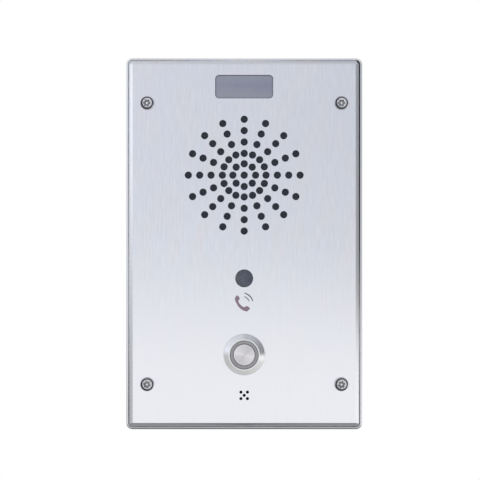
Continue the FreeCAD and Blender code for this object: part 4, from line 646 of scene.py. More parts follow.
finish = Finish("clear_window", IOR=1.9, Alpha=0.50)
smear = finish.grain(3.0, 3.0)
finish.feed(
    Base_Color=finish.mix(smear, (0.064, 0.078, 0.126), (0.078, 0.092, 0.148)),
    Roughness=0.03 + smear * 0.03,
)

finish = Finish("coated_lens", IOR=1.7, Coat_Weight=0.6, Coat_Roughness=0.02)
x, y, z = finish.place((0, 0, camera_up))
stain = finish.grain(0.9)
# Painted reflection: a pale blue base colour stands in for the reflection of the coating, lighter
# out from the middle.
tone = span(x, z).ramp(0.7, 1.3) * 0.8 + stain * 0.2
finish.feed(
    Base_Color=finish.mix(tone, (0.46, 0.54, 0.80), (0.54, 0.64, 0.94)),
    Roughness=0.08 + stain * 0.05,
)

finish = Finish("barrel_black", IOR=1.5)
rings, speck = finish.grain((60, 0.18, 60), 1.0), finish.grain(0.3)
finish.feed(
    Base_Color=finish.mix(speck, (0.050, 0.060, 0.088), (0.065, 0.075, 0.11)),
    Roughness=0.45 + rings * 0.15,
    Normal=finish.relief(rings, 0.05),
)
print("windows and lens made, materials so far", len(bpy.data.materials))

# %% [markdown]
# A few helpers make pieces. `settle` puts a mesh in the scene as a finished piece that rides on its
# body, in the place of a node of the model. `ease` gives sharp edges the small radius that a real
# edge has, and `even` keeps flat sheet flat in the light. `skinned` lays faces through rows of
# points, and `spun` turns a profile round an axis that runs out of the wall. `dressed` takes a copy
# of a model node, joins its triangles into whole faces, and eases its edges.

# %% Pieces
def sharpened(mesh, angle):
    """Marks the edges that fold by more than an angle as sharp."""
    mesh.set_sharp_from_angle(angle=math.radians(angle))
    return mesh


def settle(mesh, name, finish=None, body="panel", slot=None, sharp=None):
    """Makes a piece of a mesh. Without a slot of its own, it replaces the node of its name."""
    mesh.name = name if slot else name + ".piece"
    piece = bpy.data.objects.new(mesh.name, mesh)
    scene.collection.objects.link(piece)
    if finish:
        mesh.materials.clear()
        mesh.materials.append(bpy.data.materials["finish_" + finish])
    if sharp:
        sharpened(mesh, sharp)
    if body:
        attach(piece, body)
    slot or frame["nodes"][name].data.materials[0].name
    if not slot:
        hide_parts(name)
    return piece


def work_on(*meshes):
    """Meshes as one piece of bmesh work."""
    work = bmesh.new()
    for mesh in meshes:
        work.from_mesh(mesh)
    return work


def smooth(work, mesh=None):
    """Bmesh work as a finished mesh, shaded smooth."""
    for facet in work.faces:
        facet.smooth = True
    mesh = mesh or bpy.data.meshes.new("shape")
    work.to_mesh(mesh)
    work.free()
    return mesh


def ease(piece, width, segments, angle=30):
    bevel = piece.modifiers.new("eased_edges", "BEVEL")
    bevel.width, bevel.segments = width * MM, segments
    bevel.limit_method, bevel.angle_limit = "ANGLE", math.radians(angle)
    bevel.harden_normals = True


def even(piece):
    """Lets the large faces set the shading, so that flat sheet looks flat up to its edges."""
    piece.modifiers.new("even_shading", "WEIGHTED_NORMAL").keep_sharp = True
    return piece


def skinned(rows, capped=True):
    """A skin through rows of points in metres, with its ends capped or joined to each other."""
    work = bmesh.new()
    rows = [[work.verts.new(point) for point in row] for row in rows]
    if capped:
        work.faces.new(rows[0])
        work.faces.new(rows[-1])
    for row, beyond in zip(rows, rows[1:] if capped else rows[1:] + rows[:1]):
        for step in range(len(row)):
            work.faces.new([row[step], row[step - 1], beyond[step - 1], beyond[step]])
    bmesh.ops.recalc_face_normals(work, faces=work.faces)
    return smooth(work)


def on_circle(middle, radius, angle):
    return middle[0] + radius * math.cos(angle), middle[1] + radius * math.sin(angle)


def spun(profile, middle=(0.0, 0.0), steps=96, closed=True):
    """A profile of (radius, y) points in mm, turned round an axis. A radius may be a rule."""
    work, rings = bmesh.new(), []
    for radius, depth in profile:
        if radius == 0:
            rings.append([work.verts.new((middle[0] * MM, depth * MM, middle[1] * MM))] * steps)
            continue
        ring = []
        for step in range(steps):
            angle = 2 * math.pi * step / steps
            x, z = on_circle(middle, radius(angle) if callable(radius) else radius, angle)
            ring.append(work.verts.new((x * MM, depth * MM, z * MM)))
        rings.append(ring)
    for inner, outer in zip(rings, rings[1:] + rings[:1] if closed else rings[1:]):
        for step in range(steps):
            corners = [inner[step], inner[step - 1], outer[step - 1], outer[step]]
            corners = list(dict.fromkeys(corners))
            if len(corners) > 2:
                work.faces.new(corners)
    bmesh.ops.recalc_face_normals(work, faces=work.faces)
    return smooth(work)


def dressed(node, finish, width=0.0, body="panel", segments=2, sharp=None):
    """A model node with its own finish and eased edges."""
    apart, flat = 0.002 * MM, math.radians(0.4)
    work = work_on(frame["nodes"][node].data)
    bmesh.ops.remove_doubles(work, verts=work.verts, dist=apart)
    bmesh.ops.dissolve_limit(work, angle_limit=flat, verts=work.verts, edges=work.edges)
    piece = settle(smooth(work), node, finish, body, sharp=sharp)
    if width:
        ease(piece, width, segments)
    return piece


print("ready to make pieces")

# %% [markdown]
# Repeats and pierced sheet come from rules, and a `Pattern` holds one such rule. It is a Geometry
# Nodes tree with named sizes, which draws its shape flat, sets out copies, and stands the result up
# against the wall. At its end the copies are made real and get their finish, and the whole is
# handed over as a plain mesh. `in_rows` is the first of them: copies in rows and columns.

# %% Pattern
class Pattern(Recipe):
    """A geometry tree with named sizes in mm, drawn flat: x across, y up, z out of the wall."""

    def __init__(self, name, sizes):
        super().__init__(bpy.data.node_groups.new(name, "GeometryNodeTree"))
        made = self.tree.interface.new_socket
        made("Geometry", in_out="OUTPUT", socket_type="NodeSocketGeometry")
        for key, value in sizes.items():
            kind = "NodeSocketInt" if isinstance(value, int) else "NodeSocketFloat"
            made(key, in_out="INPUT", socket_type=kind).default_value = value
        self.given = self.tree.nodes.new("NodeGroupInput")
        self.sizes, self.sources = sizes, []

    def __getitem__(self, key):
        """A size by its name."""
        return Wire(self, self.given.outputs[key])

    def geo(self, kind, output=0, mode=None, **inputs):
        """A geometry node. An underscore in the name of an input stands for a blank."""
        inputs = {name.replace("_", " "): value for name, value in inputs.items()}
        return self.node("GeometryNode" + kind, {"mode": mode} if mode else None, inputs, output)

    def vector(self, x=0.0, y=0.0, z=0.0):
        return self.node("ShaderNodeCombineXYZ", inputs={0: x, 1: y, 2: z})

    def place(self):
        return self.parts(self.geo("InputPosition"))

    def joined(self, *things):
        made = self.tree.nodes.new("GeometryNodeJoinGeometry")
        for thing in reversed(things):
            self.tree.links.new(thing.socket, made.inputs[0])
        return Wire(self, made.outputs[0])

    def moved(self, thing, **inputs):
        return self.geo("Transform", Geometry=thing, **inputs)

    def real(self, thing):
        return self.geo("RealizeInstances", Geometry=thing)

    def points(self, count, place=(0.0, 0.0, 0.0)):
        return self.geo("Points", Count=count, Position=place)

    def counted(self, row_length):
        """How far each point stands from the middle of its row, in steps, and its row's number."""
        number = self.geo("InputIndex")
        step = number.maths("MODULO", row_length) - (row_length - 1) / 2
        return step, (number / row_length).maths("FLOOR")

    def on_points(self, points, thing, turn=(0.0, 0.0, 0.0)):
        return self.geo("InstanceOnPoints", Points=points, Instance=thing, Rotation=turn)

    def circle(self, radius, steps):
        return self.geo("MeshCircle", Vertices=steps, Radius=radius)

    def corners(self, across, up):
        return self.geo("MeshGrid", Size_X=across, Size_Y=up, Vertices_X=2, Vertices_Y=2)

    def stood_up(self, thing, place=(0.0, 0.0, 0.0), tilt=90):
        """Turned from lying flat to facing the viewer, or the wall at -90, from mm to metres."""
        return self.moved(
            thing,
            Translation=[value * MM for value in place],
            Rotation=(math.radians(tilt), 0.0, 0.0),
            Scale=(MM, MM, MM),
        )

    def source(self, mesh):
        """A mesh made elsewhere, for the tree to repeat."""
        holder = bpy.data.objects.new("source", mesh)
        scene.collection.objects.link(holder)
        self.sources.append(holder)
        return self.geo("ObjectInfo", "Geometry", Object=holder)

    def grown(self, result, finish):
        """Ends the tree with real, finished geometry, and returns that as a plain mesh."""
        coat = bpy.data.materials["finish_" + finish]
        coated = self.geo("SetMaterial", Geometry=self.real(result), Material=coat)
        self.tree.links.new(coated.socket, self.tree.nodes.new("NodeGroupOutput").inputs[0])
        blank = bpy.data.meshes.new("blank")
        host = bpy.data.objects.new("host", blank)
        scene.collection.objects.link(host)
        modifier = host.modifiers.new(self.tree.name, "NODES")
        modifier.node_group = self.tree
        for item in self.tree.interface.items_tree:
            if item.in_out == "INPUT":
                modifier[item.identifier] = self.sizes[item.name]
        bpy.context.view_layer.update()
        seen = host.evaluated_get(bpy.context.evaluated_depsgraph_get())
        mesh = bpy.data.meshes.new_from_object(seen)
        host.modifiers.clear()
        for used in [host, *self.sources]:
            bpy.data.objects.remove(used)
        bpy.data.meshes.remove(blank)
        return mesh


def in_rows(name, mesh, finish, middle, columns, rows, across, up, seed):
    """Copies of a mesh round a middle (x, z), a pitch apart across and up, turned by the seed."""
    sizes = {"Columns": columns, "Rows": rows, "Across": float(across), "Up": float(up)}
    rule = Pattern(name, {**sizes, "Seed": seed, "Turn": 2 * math.pi if seed else 0.0})
    column, row = rule.counted(rule["Columns"])
    place = rule.vector(column * rule["Across"], (row - (rule["Rows"] - 1) / 2) * rule["Up"])
    points = rule.points(rule["Columns"] * rule["Rows"], place)
    turn = rule.node(
        "FunctionNodeRandomValue",
        {"data_type": "FLOAT"},
        {2: 0.0, 3: rule["Turn"], "Seed": rule["Seed"]},
        output=1,
    )
    stood = rule.stood_up(points, (middle[0], 0, middle[1]))
    copies = rule.on_points(stood, rule.source(mesh), rule.vector(y=turn))
    return rule.grown(copies, finish)


def sewn(mesh, sharp=30):
    """Merges doubles, turns every face outwards, and marks the sharp edges."""
    work, apart = work_on(mesh), 0.004 * MM
    bmesh.ops.remove_doubles(work, verts=work.verts, dist=apart)
    bmesh.ops.recalc_face_normals(work, faces=work.faces)
    open_edges = sum(len(edge.link_faces) != 2 for edge in work.edges)
    print("sewn, faces", len(work.faces), "open edges", open_edges)
    return sharpened(smooth(work, mesh), sharp)


# %% [markdown]
# The front plate and the back of the box are sheet with openings, so they share one kind of
# pattern. A wall is raised from each outline by extruding its edges. A second short extrusion is
# spread or drawn in, which gives a true slope: wide and drawn in at the outer edge, narrow and
# spread at the holes. Both faces are filled between the same outlines, so that every seam closes
# when the doubles are merged.

# %% Sheet with openings
class Sheet(Pattern):
    """Flat sheet, whose outer edge and openings are given by the names of their sizes."""

    def spread(self, width, height, corner, by):
        """Where a point of a rounded outline goes when the outline grows by a margin."""
        x, y, z = self.place()
        larger = (corner + by) / corner
        for at, length in ((x, width), (y, height)):
            middle = at.maths("SIGN") * (length / 2 - corner)
            yield middle + (at - middle) * larger
        yield z

    def raised(self, outline, rise, **inputs):
        inputs.update(Mesh=outline, Offset=self.vector(z=1.0), Offset_Scale=rise)
        return self.geo("ExtrudeMesh", mode="EDGES", **inputs)

    def opening(self, outline, width, height, corner, slope, sign=1):
        """The wall of an opening with its sloped rim, and its outlines at the back and in front."""
        straight = self.raised(outline, self["Thickness"] - slope)
        sloped = self.raised(straight, slope, Selection=straight.out("Top"))
        margin = self.vector(*self.spread(width, height, corner, slope * sign))
        top = sloped.out("Top")
        wall = self.geo("SetPosition", Geometry=sloped, Selection=top, Position=margin)
        return wall, outline, self.geo("SetPosition", Geometry=outline, Position=margin)

    def round_opening(self, radius, steps):
        radius = self[radius]
        outline = self.circle(radius, steps)
        return self.opening(outline, radius * 2, radius * 2, radius, self["Rim"])

    def square_opening(self, width, height, corner, slope, sign=1):
        width, height, corner = self[width], self[height], self[corner]
        square = self.geo("CurvePrimitiveQuadrilateral", Width=width, Height=height)
        curve = self.geo(
            "FilletCurve", mode="POLY", Curve=square, Radius=corner, Count=8, Limit_Radius=False
        )
        outline = self.geo("CurveToMesh", Curve=curve)
        return self.opening(outline, width, height, corner, self[slope], sign)

    def placed(self, parts, points=None, up=None):
        """The same opening at other points, or moved up the sheet."""
        if points:
            parts = [self.real(self.on_points(points, part)) for part in parts]
        shift = self.vector(y=self[up] if up else 0.0)
        return [self.moved(part, Translation=shift) for part in parts]

    def filled(self, outlines):
        curves = self.geo("MeshToCurve", Mesh=self.joined(*outlines))
        return self.geo("FillCurve", mode="TRIANGLES", Curve=curves)

    def whole(self, walls, backs, fronts):
        """The walls of all openings, and both faces, filled between the outlines."""
        back = self.geo("FlipFaces", Mesh=self.filled(backs))
        rise = self.vector(z=self["Thickness"])
        return self.joined(*walls, back, self.moved(self.filled(fronts), Translation=rise))


print("ready to cut sheet")

# %% [markdown]
# The front plate is the main piece: a rounded rectangle, pierced by a sunburst of sixteen rays of
# holes round a ring of eight and one in the middle, five small holes for the microphone, and
# openings for window, camera, button and screws. Its outer front edge has a wide bevel, which is
# mitred at the corners.

# %% Front plate
plate_sizes = {
    "Width": 123.5, "Height": 196.2, "Thickness": 3.0, "Corner": 2.0, "Bevel": 1.9, "Rim": 0.07,
    "Hole radius": 1.92, "Ring radius": 6.1, "Ray start": 11.7, "Ray pitch": 6.1, "Rays": 16,
    "Holes in a ray": 4, "Speaker middle": speaker_up, "Screw across": screws_across,
    "Screw up": screws_up, "Screw hole": 2.25, "Window width": 31.0, "Window height": 12.5,
    "Window corner": 2.0, "Window middle": light_up, "Camera hole": 4.75,
    "Camera middle": camera_up, "Button hole": 9.6, "Button middle": button_up, "Mic hole": 0.8,
    "Mic side": 3.48, "Mic middle": mic_up,
}
rule = Sheet("pierced_plate", plate_sizes)
ray_line = rule.geo(
    "MeshLine",
    Count=rule["Holes in a ray"],
    Start_Location=rule.vector(rule["Ray start"]),
    Offset=rule.vector(rule["Ray pitch"]),
)
turn = rule.vector(z=rule.geo("InputIndex") * (2 * math.pi) / rule["Rays"])
rays = rule.real(rule.on_points(rule.points(rule["Rays"]), ray_line, turn))
one_point = rule.geo("MeshLine", Count=1)
sunburst = rule.joined(rays, rule.circle(rule["Ring radius"], rule["Rays"] / 2), one_point)
mic_points = rule.joined(rule.corners(rule["Mic side"], rule["Mic side"]), one_point)
screw_points = rule.corners(rule["Screw across"], rule["Screw up"])
window = rule.square_opening("Window width", "Window height", "Window corner", "Rim")
openings = (
    rule.square_opening("Width", "Height", "Corner", "Bevel", -1),
    rule.placed(rule.round_opening("Hole radius", 40), sunburst, "Speaker middle"),
    rule.placed(rule.round_opening("Mic hole", 24), mic_points, "Mic middle"),
    rule.placed(rule.round_opening("Screw hole", 40), screw_points),
    rule.placed(window, up="Window middle"),
    rule.placed(rule.round_opening("Camera hole", 96), up="Camera middle"),
    rule.placed(rule.round_opening("Button hole", 96), up="Button middle"),
)
stood = rule.stood_up(rule.whole(*zip(*openings)), (0, face / MM + plate_sizes["Thickness"], 0))
settle(sewn(rule.grown(stood, "brushed_plate")), "front_plate")

# %% [markdown]
# The rim that shows round the plate is the front edge of the box: a band of 1.2 mm sheet, folded
# round the panel. Its lip falls away outwards like the bevel of the plate, so that below it mirrors
# the painted dark ground and above the light. Rounded rectangles are lofted into a closed wall.

# %% Band of the box
quarter = math.pi / 2


def spaced(start, end, steps):
    """Numbers from start to end, in even steps."""
    return [start + (end - start) * step / steps for step in range(steps + 1)]


def rounded(width, height, corner, steps=10):
    """Points (x, z) in mm round a rectangle with rounded corners."""
    points = []
    for turns, (side_x, side_z) in enumerate(((1, 1), (-1, 1), (-1, -1), (1, -1))):
        middle = side_x * (width / 2 - corner), side_z * (height / 2 - corner)
        for angle in spaced(turns * quarter, (turns + 1) * quarter, steps):
            points.append(on_circle(middle, corner, angle))
    return points


def lofted(loops, capped=False):
    """A skin through loops of (x, z) points, each at its depth y, all in mm."""
    rows = [[(x * MM, depth * MM, z * MM) for x, z in points] for points, depth in loops]
    return skinned(rows, capped)


def band_loop(inset, depth):
    """The band's outline, drawn in by an inset from its outer face."""
    return rounded(box_width - 2 * inset, box_height - 2 * inset, 3.5 - inset), depth


lip_front, lip_run, lip_fall, lip_inside = -48.1, 0.80, 1.05, 0.10
outer_edge = ((0.0, 0.35), (0.06, 0.12), (0.14, 0.0))
slope = ((0.5, 0.0), (0.86, 0.0), (0.95, 0.0))
loops = [band_loop(0.15, -2.0), band_loop(0.04, -2.04), band_loop(0.0, -2.15)]
for along, turned_over in outer_edge + slope:
    loops.append(band_loop(along * lip_run, lip_front + lip_fall * (1 - along) + turned_over))
for tilt in spaced(0, quarter, 4):
    inset = sheet_thick - lip_inside * (1 - math.sin(tilt))
    loops.append(band_loop(inset, lip_front + lip_inside * (1 - math.cos(tilt))))
loops += [band_loop(sheet_thick, -2.15), band_loop(sheet_thick - 0.15, -2.0)]
even(settle(lofted(loops), "housing_band", "sheet_steel", sharp=40))
print("loops of the band", len(loops))

# %% [markdown]
# The back of the box is a pressed sheet. Four round feet stand out of it, so that only they touch
# the wall, with a hole in each for a wall screw and one larger hole for the cable. A press leaves
# no sharp corner, so the skin of a foot runs over round shoulders from the sheet to its floor and
# back on the inside. Geometry Nodes fills the sheet between its outlines and sets the feet in.

# %% Rear panel
def pressed_foot(outer, inner, sheet_back, sheet_front, floor_back, floor_front, hole):
    """Both skins of a foot, from the back of the sheet to its front, as (radius, y) points."""
    corner, chamfer = 0.55, 0.15
    turn = [(1 - math.sin(tilt), 1 - math.cos(tilt)) for tilt in spaced(0, quarter, 5)]
    profile = [(outer + corner * a, sheet_back + corner * b) for a, b in turn]
    profile += [(outer - corner * b, floor_back - corner * a) for a, b in turn]
    profile += [(hole + chamfer, floor_back), (hole, floor_back - chamfer), (hole, floor_front)]
    profile += [(inner - corner * a, floor_front - corner * b) for a, b in turn]
    return profile + [(inner + corner * b, sheet_front + corner * a) for a, b in turn]


foot_steps, rear_front = 72, -3.2
foot_profile = pressed_foot(9.0, 7.8, -2.0, rear_front, 0.0, -1.2, 2.5)
rear_sizes = {
    "Width": 124.9, "Height": 197.6, "Thickness": sheet_thick, "Corner": 2.3, "Bevel": 0.3,
    "Rim": 0.12, "Feet across": 83.0, "Feet up": 160.0, "Foot back": foot_profile[0][0],
    "Foot front": foot_profile[-1][0], "Cable hole": 7.0, "Cable middle": -60.0,
}
rule = Sheet("pressed_back", rear_sizes)
feet_at = rule.corners(rule["Feet across"], rule["Feet up"])
walls, backs, fronts = zip(
    rule.square_opening("Width", "Height", "Corner", "Bevel", -1),
    rule.placed(rule.round_opening("Cable hole", 72), up="Cable middle"),
)
near, far_side = (
    rule.real(rule.on_points(feet_at, rule.circle(rule[key], foot_steps)))
    for key in ("Foot front", "Foot back")
)
flat = rule.stood_up(
    rule.whole(walls, (*backs, near), (*fronts, far_side)), (0, rear_front, 0), -90
)
foot = rule.source(spun(foot_profile, steps=foot_steps, closed=False))
feet = rule.on_points(rule.stood_up(feet_at), foot)
even(settle(sewn(rule.grown(rule.joined(flat, feet), "sheet_steel")), "rear_panel"))

# %% [markdown]
# Screws, nuts and studs are all turned shapes whose radius follows a rule of the angle. A thread is
# a groove that moves on along the axis as the angle grows, a hexagon is a circle cut by six flats,
# and a star socket is a circle with lobes. So one spun profile makes each of them, with its thread
# as real shape.

# %% Rules for turned parts
def threaded(radius, start, end, pitch, inwards=1):
    """Rows of a thread between two depths. For a tapped hole the groove goes outwards, at -1."""
    cut, rows = 0.43 * pitch * inwards, max(2, round(abs(end - start) / pitch * 4))

    def groove(turns):
        return lambda angle: radius - cut * abs((turns + angle / (2 * math.pi)) % 1 * 2 - 1)

    depths = spaced(start, end, rows)[1:-1]
    return [(radius, start), *[(groove(depth / pitch), depth) for depth in depths], (radius, end)]


def softened(profile, width):
    """An open profile whose corners are rounded by a width."""
    rounded_off = [profile[0]]
    for before, corner, after in zip(profile, profile[1:], profile[2:]):
        before, corner, after = Vector(before), Vector(corner), Vector(after)
        start = corner + (before - corner).normalized() * width
        end = corner + (after - corner).normalized() * width
        rounded_off += [tuple(start), tuple((start + corner * 2 + end) / 4), tuple(end)]
    return rounded_off + [profile[-1]]


def hexagon(flats, limit):
    """A circle of radius limit, cut by six flats."""
    sixth = math.pi / 3
    return lambda angle: min(flats / 2 / math.cos(angle % sixth - sixth / 2), limit)


def hex_side(flats, start, end, first=0.475):
    """The side of a nut from one face to the other, with its corners turned off."""
    widest, slant = 0.578, 0.58 if end > start else -0.58
    side = [
        (hexagon(flats, flats * share), flats * (share - first) * slant)
        for share in spaced(first, widest, 4)
    ]
    near = [(radius, start + rise) for radius, rise in side]
    return near + [(radius, end - rise) for radius, rise in side[::-1]]


def star(core, lobe, reach, lobes):
    """A round core with lobes, for sockets and crosses."""

    def radius(angle):
        best = core
        for number in range(lobes):
            off = angle - 2 * math.pi * number / lobes
            side = reach * math.sin(off)
            if abs(side) < lobe and math.cos(off) > 0:
                best = max(best, reach * math.cos(off) + math.sqrt(lobe**2 - side**2))
        return best

    return radius


def arc(radius, depth, wide, deep, steps):
    """A quarter of an ellipse, from the face at this radius out to the side."""
    return [
        (radius + wide * math.sin(tilt), depth + deep * (1 - math.cos(tilt)))
        for tilt in spaced(0, quarter, steps)
    ]


print("a 5.5 mm hexagon is", round(hexagon(5.5, 9)(0.0) * 2, 2), "mm over its corners")

# %% [markdown]
# Four security screws hold the plate. The head is a low dome with a six-point star socket and a pin
# in its middle. One screw is spun, and Geometry Nodes puts it at the four corners, each turned by
# its own seeded amount, because no two screws stop at the same angle.

# %% Plate screws
socket = star(1.4, 0.42, 1.5, 6)
screw_profile = [(0, -51.95), (0.44, -51.95), (0.5, -51.89), (0.5, -50.7), (socket, -50.7)]
screw_profile += [(socket, -52.03), (lambda angle: socket(angle) + 0.07, -52.1)]
screw_profile += arc(2.7, -52.1, 1.05, 1.75, 10) + [(3.75, -50.06), (3.69, -50.0)]
screw_profile += threaded(2.0, -50.0, -38.3, 0.7) + [(1.7, -38.0), (0, -38.0)]
screw = spun(screw_profile, steps=72)
screws = in_rows(
    "four_screws", screw, "screw_steel", (0, 0), 2, 2, screws_across, screws_up, seed=4
)
even(settle(sewn(screws, 85), "plate_screws"))

# %% [markdown]
# The windows are moulded pieces whose flange sits behind the plate and whose face fills the
# opening. Like the lens and its barrel, they are dressed copies of the model's own solids.

# %% Windows
dressed("light_window", "smoked_window", 0.35, segments=3)
dressed("camera_window", "clear_window", 0.25, segments=3)
dressed("camera_front_lens", "coated_lens", sharp=40)
dressed("camera_lens_barrel", "barrel_black", 0.12)
print("windows and lens in place")

# %% [markdown]
# What shows of the call button is three turned pieces on one axis: a flange with a bevelled rim, a
# milky light ring, and the cap that moves in. They are spun in fine steps, so that their outlines
# stay round. The dished face of the cap carries the fine grooves that the lathe left.

# %% Call button
axis, fine_steps = (0.0, button_up), 144
flange_profile = [
    (9.4, -50.6), (11.0, -50.6), (11.0, -51.1), (8.35, -52.4), (7.7, -52.4), (7.7, -48.4),
    (5.75, -48.4), (5.75, -45.0), (8.2, -45.0), (8.2, -34.0), (9.1, -34.0), (9.4, -34.3),
]
flange_profile = softened(flange_profile, 0.1) + threaded(9.4, -34.3, -46.9, 1.0)
even(settle(spun(flange_profile, axis, fine_steps), "button_housing", "turned_flange"))

ring_profile = [(5.8, -48.4), (5.8, -52.25), (7.65, -52.25), (7.65, -48.4)]
ring = settle(spun(ring_profile, axis, fine_steps), "button_light_ring", "frosted_ring")
ease(ring, 0.25, 3)

cap_radius, cap_front, dished = 5.65, -52.25, 0.12
groove_step, groove = 0.038, (0.0, 0.015, 0.030, 0.015)
cap_profile = [(0, cap_front + dished)]
for step in range(1, 148):
    radius = groove_step * step
    dish = cap_front + dished * (1 - (radius / cap_radius) ** 2)
    cap_profile.append((radius, dish + groove[step % 4]))
cap_profile += [(cap_radius, cap_front), (cap_radius, -45.0), (7.4, -45.0), (7.4, -42.0)]
cap_profile += [(2.0, -42.0), (2.0, -37.15), (0, -37.15)]
cap = settle(
    spun(cap_profile, axis, fine_steps), "button_actuator", "turned_cap", "call_button"
)
ease(cap, 0.2, 3, angle=60)
print("button pieces", ring.name, cap.name)

# %% [markdown]
# Behind the holes lies a fine dust mesh. It is far too fine to model wire by wire, so it is a thin
# disc whose weave is drawn by its material.

# %% Dust mesh
finish = Finish("dust_weave")
x, y, z = finish.place()
pitch = 0.55
warp, weft = (abs((way / pitch).maths("PINGPONG", 1.0) - 0.5) * 2 for way in (x, z))
wires = warp.most(weft)
finish.feed(
    Base_Color=finish.mix(wires, (0.014, 0.016, 0.026), (0.090, 0.10, 0.14)),
    Roughness=0.5 + wires * 0.2,
    Normal=finish.relief(wires, 0.06),
)
print("dust mesh", dressed("speaker_mesh", "dust_weave", 0.05).name)

# %% [markdown]
# Most of what lies behind the plate is carried over from the model with its own finish, and with
# edges eased by the widths given here. The microphone's capsule is metal with a felt disc on its
# face. Every second lead is red, so each lead gets a number that the finish of the leads reads.

# %% Box and inner pieces
finish = Finish("capsule_and_felt")
x, y, z = finish.place((0, 0, mic_up))
fluff = finish.grain(0.12, 3.0)
cloth = (1 - span(x, z).ramp(3.55, 3.62)) * (1 - y.ramp(-45.5, -45.3))
finish.feed(
    Base_Color=finish.mix(cloth, (0.70, 0.71, 0.73), (0.045, 0.045, 0.055)),
    Metallic=1 - cloth,
    Roughness=0.35 + cloth * 0.6,
    Normal=finish.relief(fluff * cloth, 0.1),
)
eased = {
    "black_rubber": {"cable_grommet": 0.3, "button_seal": 0.1, "mic_boot": 0.25},
    "seal_rubber": {"plate_gasket": 0.15},
    "grey_foam": {"light_gasket": 0.1, "speaker_gasket": 0.2},
    "black_plastic": {
        "camera_lens_holder": 0.12, "camera_sensor": 0.05, "button_contact_block": 0.15,
        "network_jack": 0.2,
    },
    "white_plastic": {"lead_sockets": 0.06},
    "green_plastic": {"terminal_block": 0.1},
    "solder_mask": {"light_board": 0.06, "camera_board": 0.06, "main_board": 0.06},
    "led_package": {"light_leds": 0.06},
    "ribbon_film": {"camera_ribbon": 0.0},
    "basket_paint": {"speaker_basket": 0.12},
    "ferrite": {"speaker_magnet": 0.3},
    "zinc_plate": {
        "speaker_top_plate": 0.12, "speaker_yoke": 0.12, "speaker_clamps": 0.1,
        "terminal_screws": 0.05,
    },
    "contact_brass": {"speaker_terminals": 0.05, "button_terminals": 0.05},
    "aluminium": {"heat_sink": 0.1},
    "capsule_and_felt": {"mic_capsule": 0.1},
}
for finish, widths in eased.items():
    for node, width in widths.items():
        dressed(node, finish, width)
for node, finish, body in (
    ("seat_frame", "seat_steel", "panel"), ("speaker_spider", "spider_cloth", "panel"),
    ("speaker_cone", "cone_paper", "cone"), ("speaker_dust_cap", "cone_paper", "cone"),
    ("speaker_voice_coil", "coil_copper", "cone"), ("inner_leads", "lead_jacket", "panel"),
):
    dressed(node, finish, body=body, sharp=35)


def numbered_parts(mesh, name):
    """Gives every second loose part, from the bottom up, the value 1 under a name."""
    work = work_on(mesh)
    layer = work.verts.layers.float.new(name)
    seen, parts = set(), []
    for first in work.verts:
        if first in seen:
            continue
        part, fresh = [], [first]
        seen.add(first)
        while fresh:
            vert = fresh.pop()
            part.append(vert)
            beyond = [edge.other_vert(vert) for edge in vert.link_edges]
            fresh += [other for other in beyond if other not in seen]
            seen.update(beyond)
        parts.append(part)
    parts.sort(key=lambda part: [round(min(v.co[i] for v in part), 5) for i in (2, 0)])
    for number, part in enumerate(parts):
        for vert in part:
            vert[layer] = number % 2
    smooth(work, mesh)
    return len(parts)


print("leads", numbered_parts(bpy.data.objects["inner_leads.piece"].data, "lead"))

# %% [markdown]
# The rubber roll round the cone is what lets the cone move: its inner lip goes with the cone, and
# its outer lip stays in the basket. It is made in two rings that meet on the crest of the roll. The
# outer ring rides on the panel, and the inner one is set on no body.

# %% Roll of the loudspeaker
crest, bend, lip_drop = 31.75, 3.4, 2.0
roll_front, roll_back = -44.0, -43.6


def roll_skin(base, start, end):
    """Points over the roll, whose lips lie at this depth, from one radius to another."""
    return [
        (radius, base - (math.sqrt(bend**2 - (radius - crest) ** 2) - lip_drop))
        for radius in spaced(start, end, 8)
    ]


speaker = (0.0, speaker_up)
inner_roll = [(27.4, roll_back), (27.4, roll_front), *roll_skin(roll_front, 29.0, crest)]
inner_roll += roll_skin(roll_back, crest, 29.0)
outer_roll = [*roll_skin(roll_front, crest, 34.5), (36.3, roll_front), (36.3, roll_back)]
outer_roll += roll_skin(roll_back, 34.5, crest)
settle(spun(outer_roll, speaker), "speaker_surround", "black_rubber", sharp=50)
lip_ring = settle(
    spun(inner_roll, speaker), "speaker_surround.inner", "black_rubber", None, "black_rubber", 50
)
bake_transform(lip_ring)
print("blended", lip_ring.name)

# %% [markdown]
# The small hardware inside stands in groups round what it holds: screws, studs, nuts and standoffs.
# Each is spun once with its thread, and one Geometry Nodes pattern sets the copies out. A seed of
# its own turns each kind by chance, save nuts and hexagonal standoffs, which all stand the same
# way. The large nut of the button and the earth stud are single, so they need no pattern.

# %% Small hardware
def cross_screw(top, head, height, shank, tip, arm, pitch):
    """A pan-head screw whose head faces the wall, from its recess to its tip."""
    cross, under, end = star(0.45, 0.38, arm - 0.38, 4), top - height, 0.25
    profile = [(0, top - 0.8), (cross, top - 0.8), (cross, top)]
    profile += arc(head - 0.45, top, 0.45, -0.45, 4) + [(head, under)]
    return profile + threaded(shank, under, tip + end, pitch) + [(shank - end, tip), (0, tip)]


def nut(flats, bore, low, high, pitch):
    tapped = threaded(bore, high - 0.2, low + 0.2, pitch, -1)
    return hex_side(flats, low, high) + [(bore + 0.2, high)] + tapped + [(bore + 0.2, low)]


def standoff(side, high, bore, blind, pitch):
    """A pillar on the plate, with a tapped blind hole in the end that faces the wall."""
    hole = [(bore + 0.2, high)] + threaded(bore, high - 0.2, blind, pitch, -1)
    return [(0, plate_back)] + side + hole + [(0, blind)]


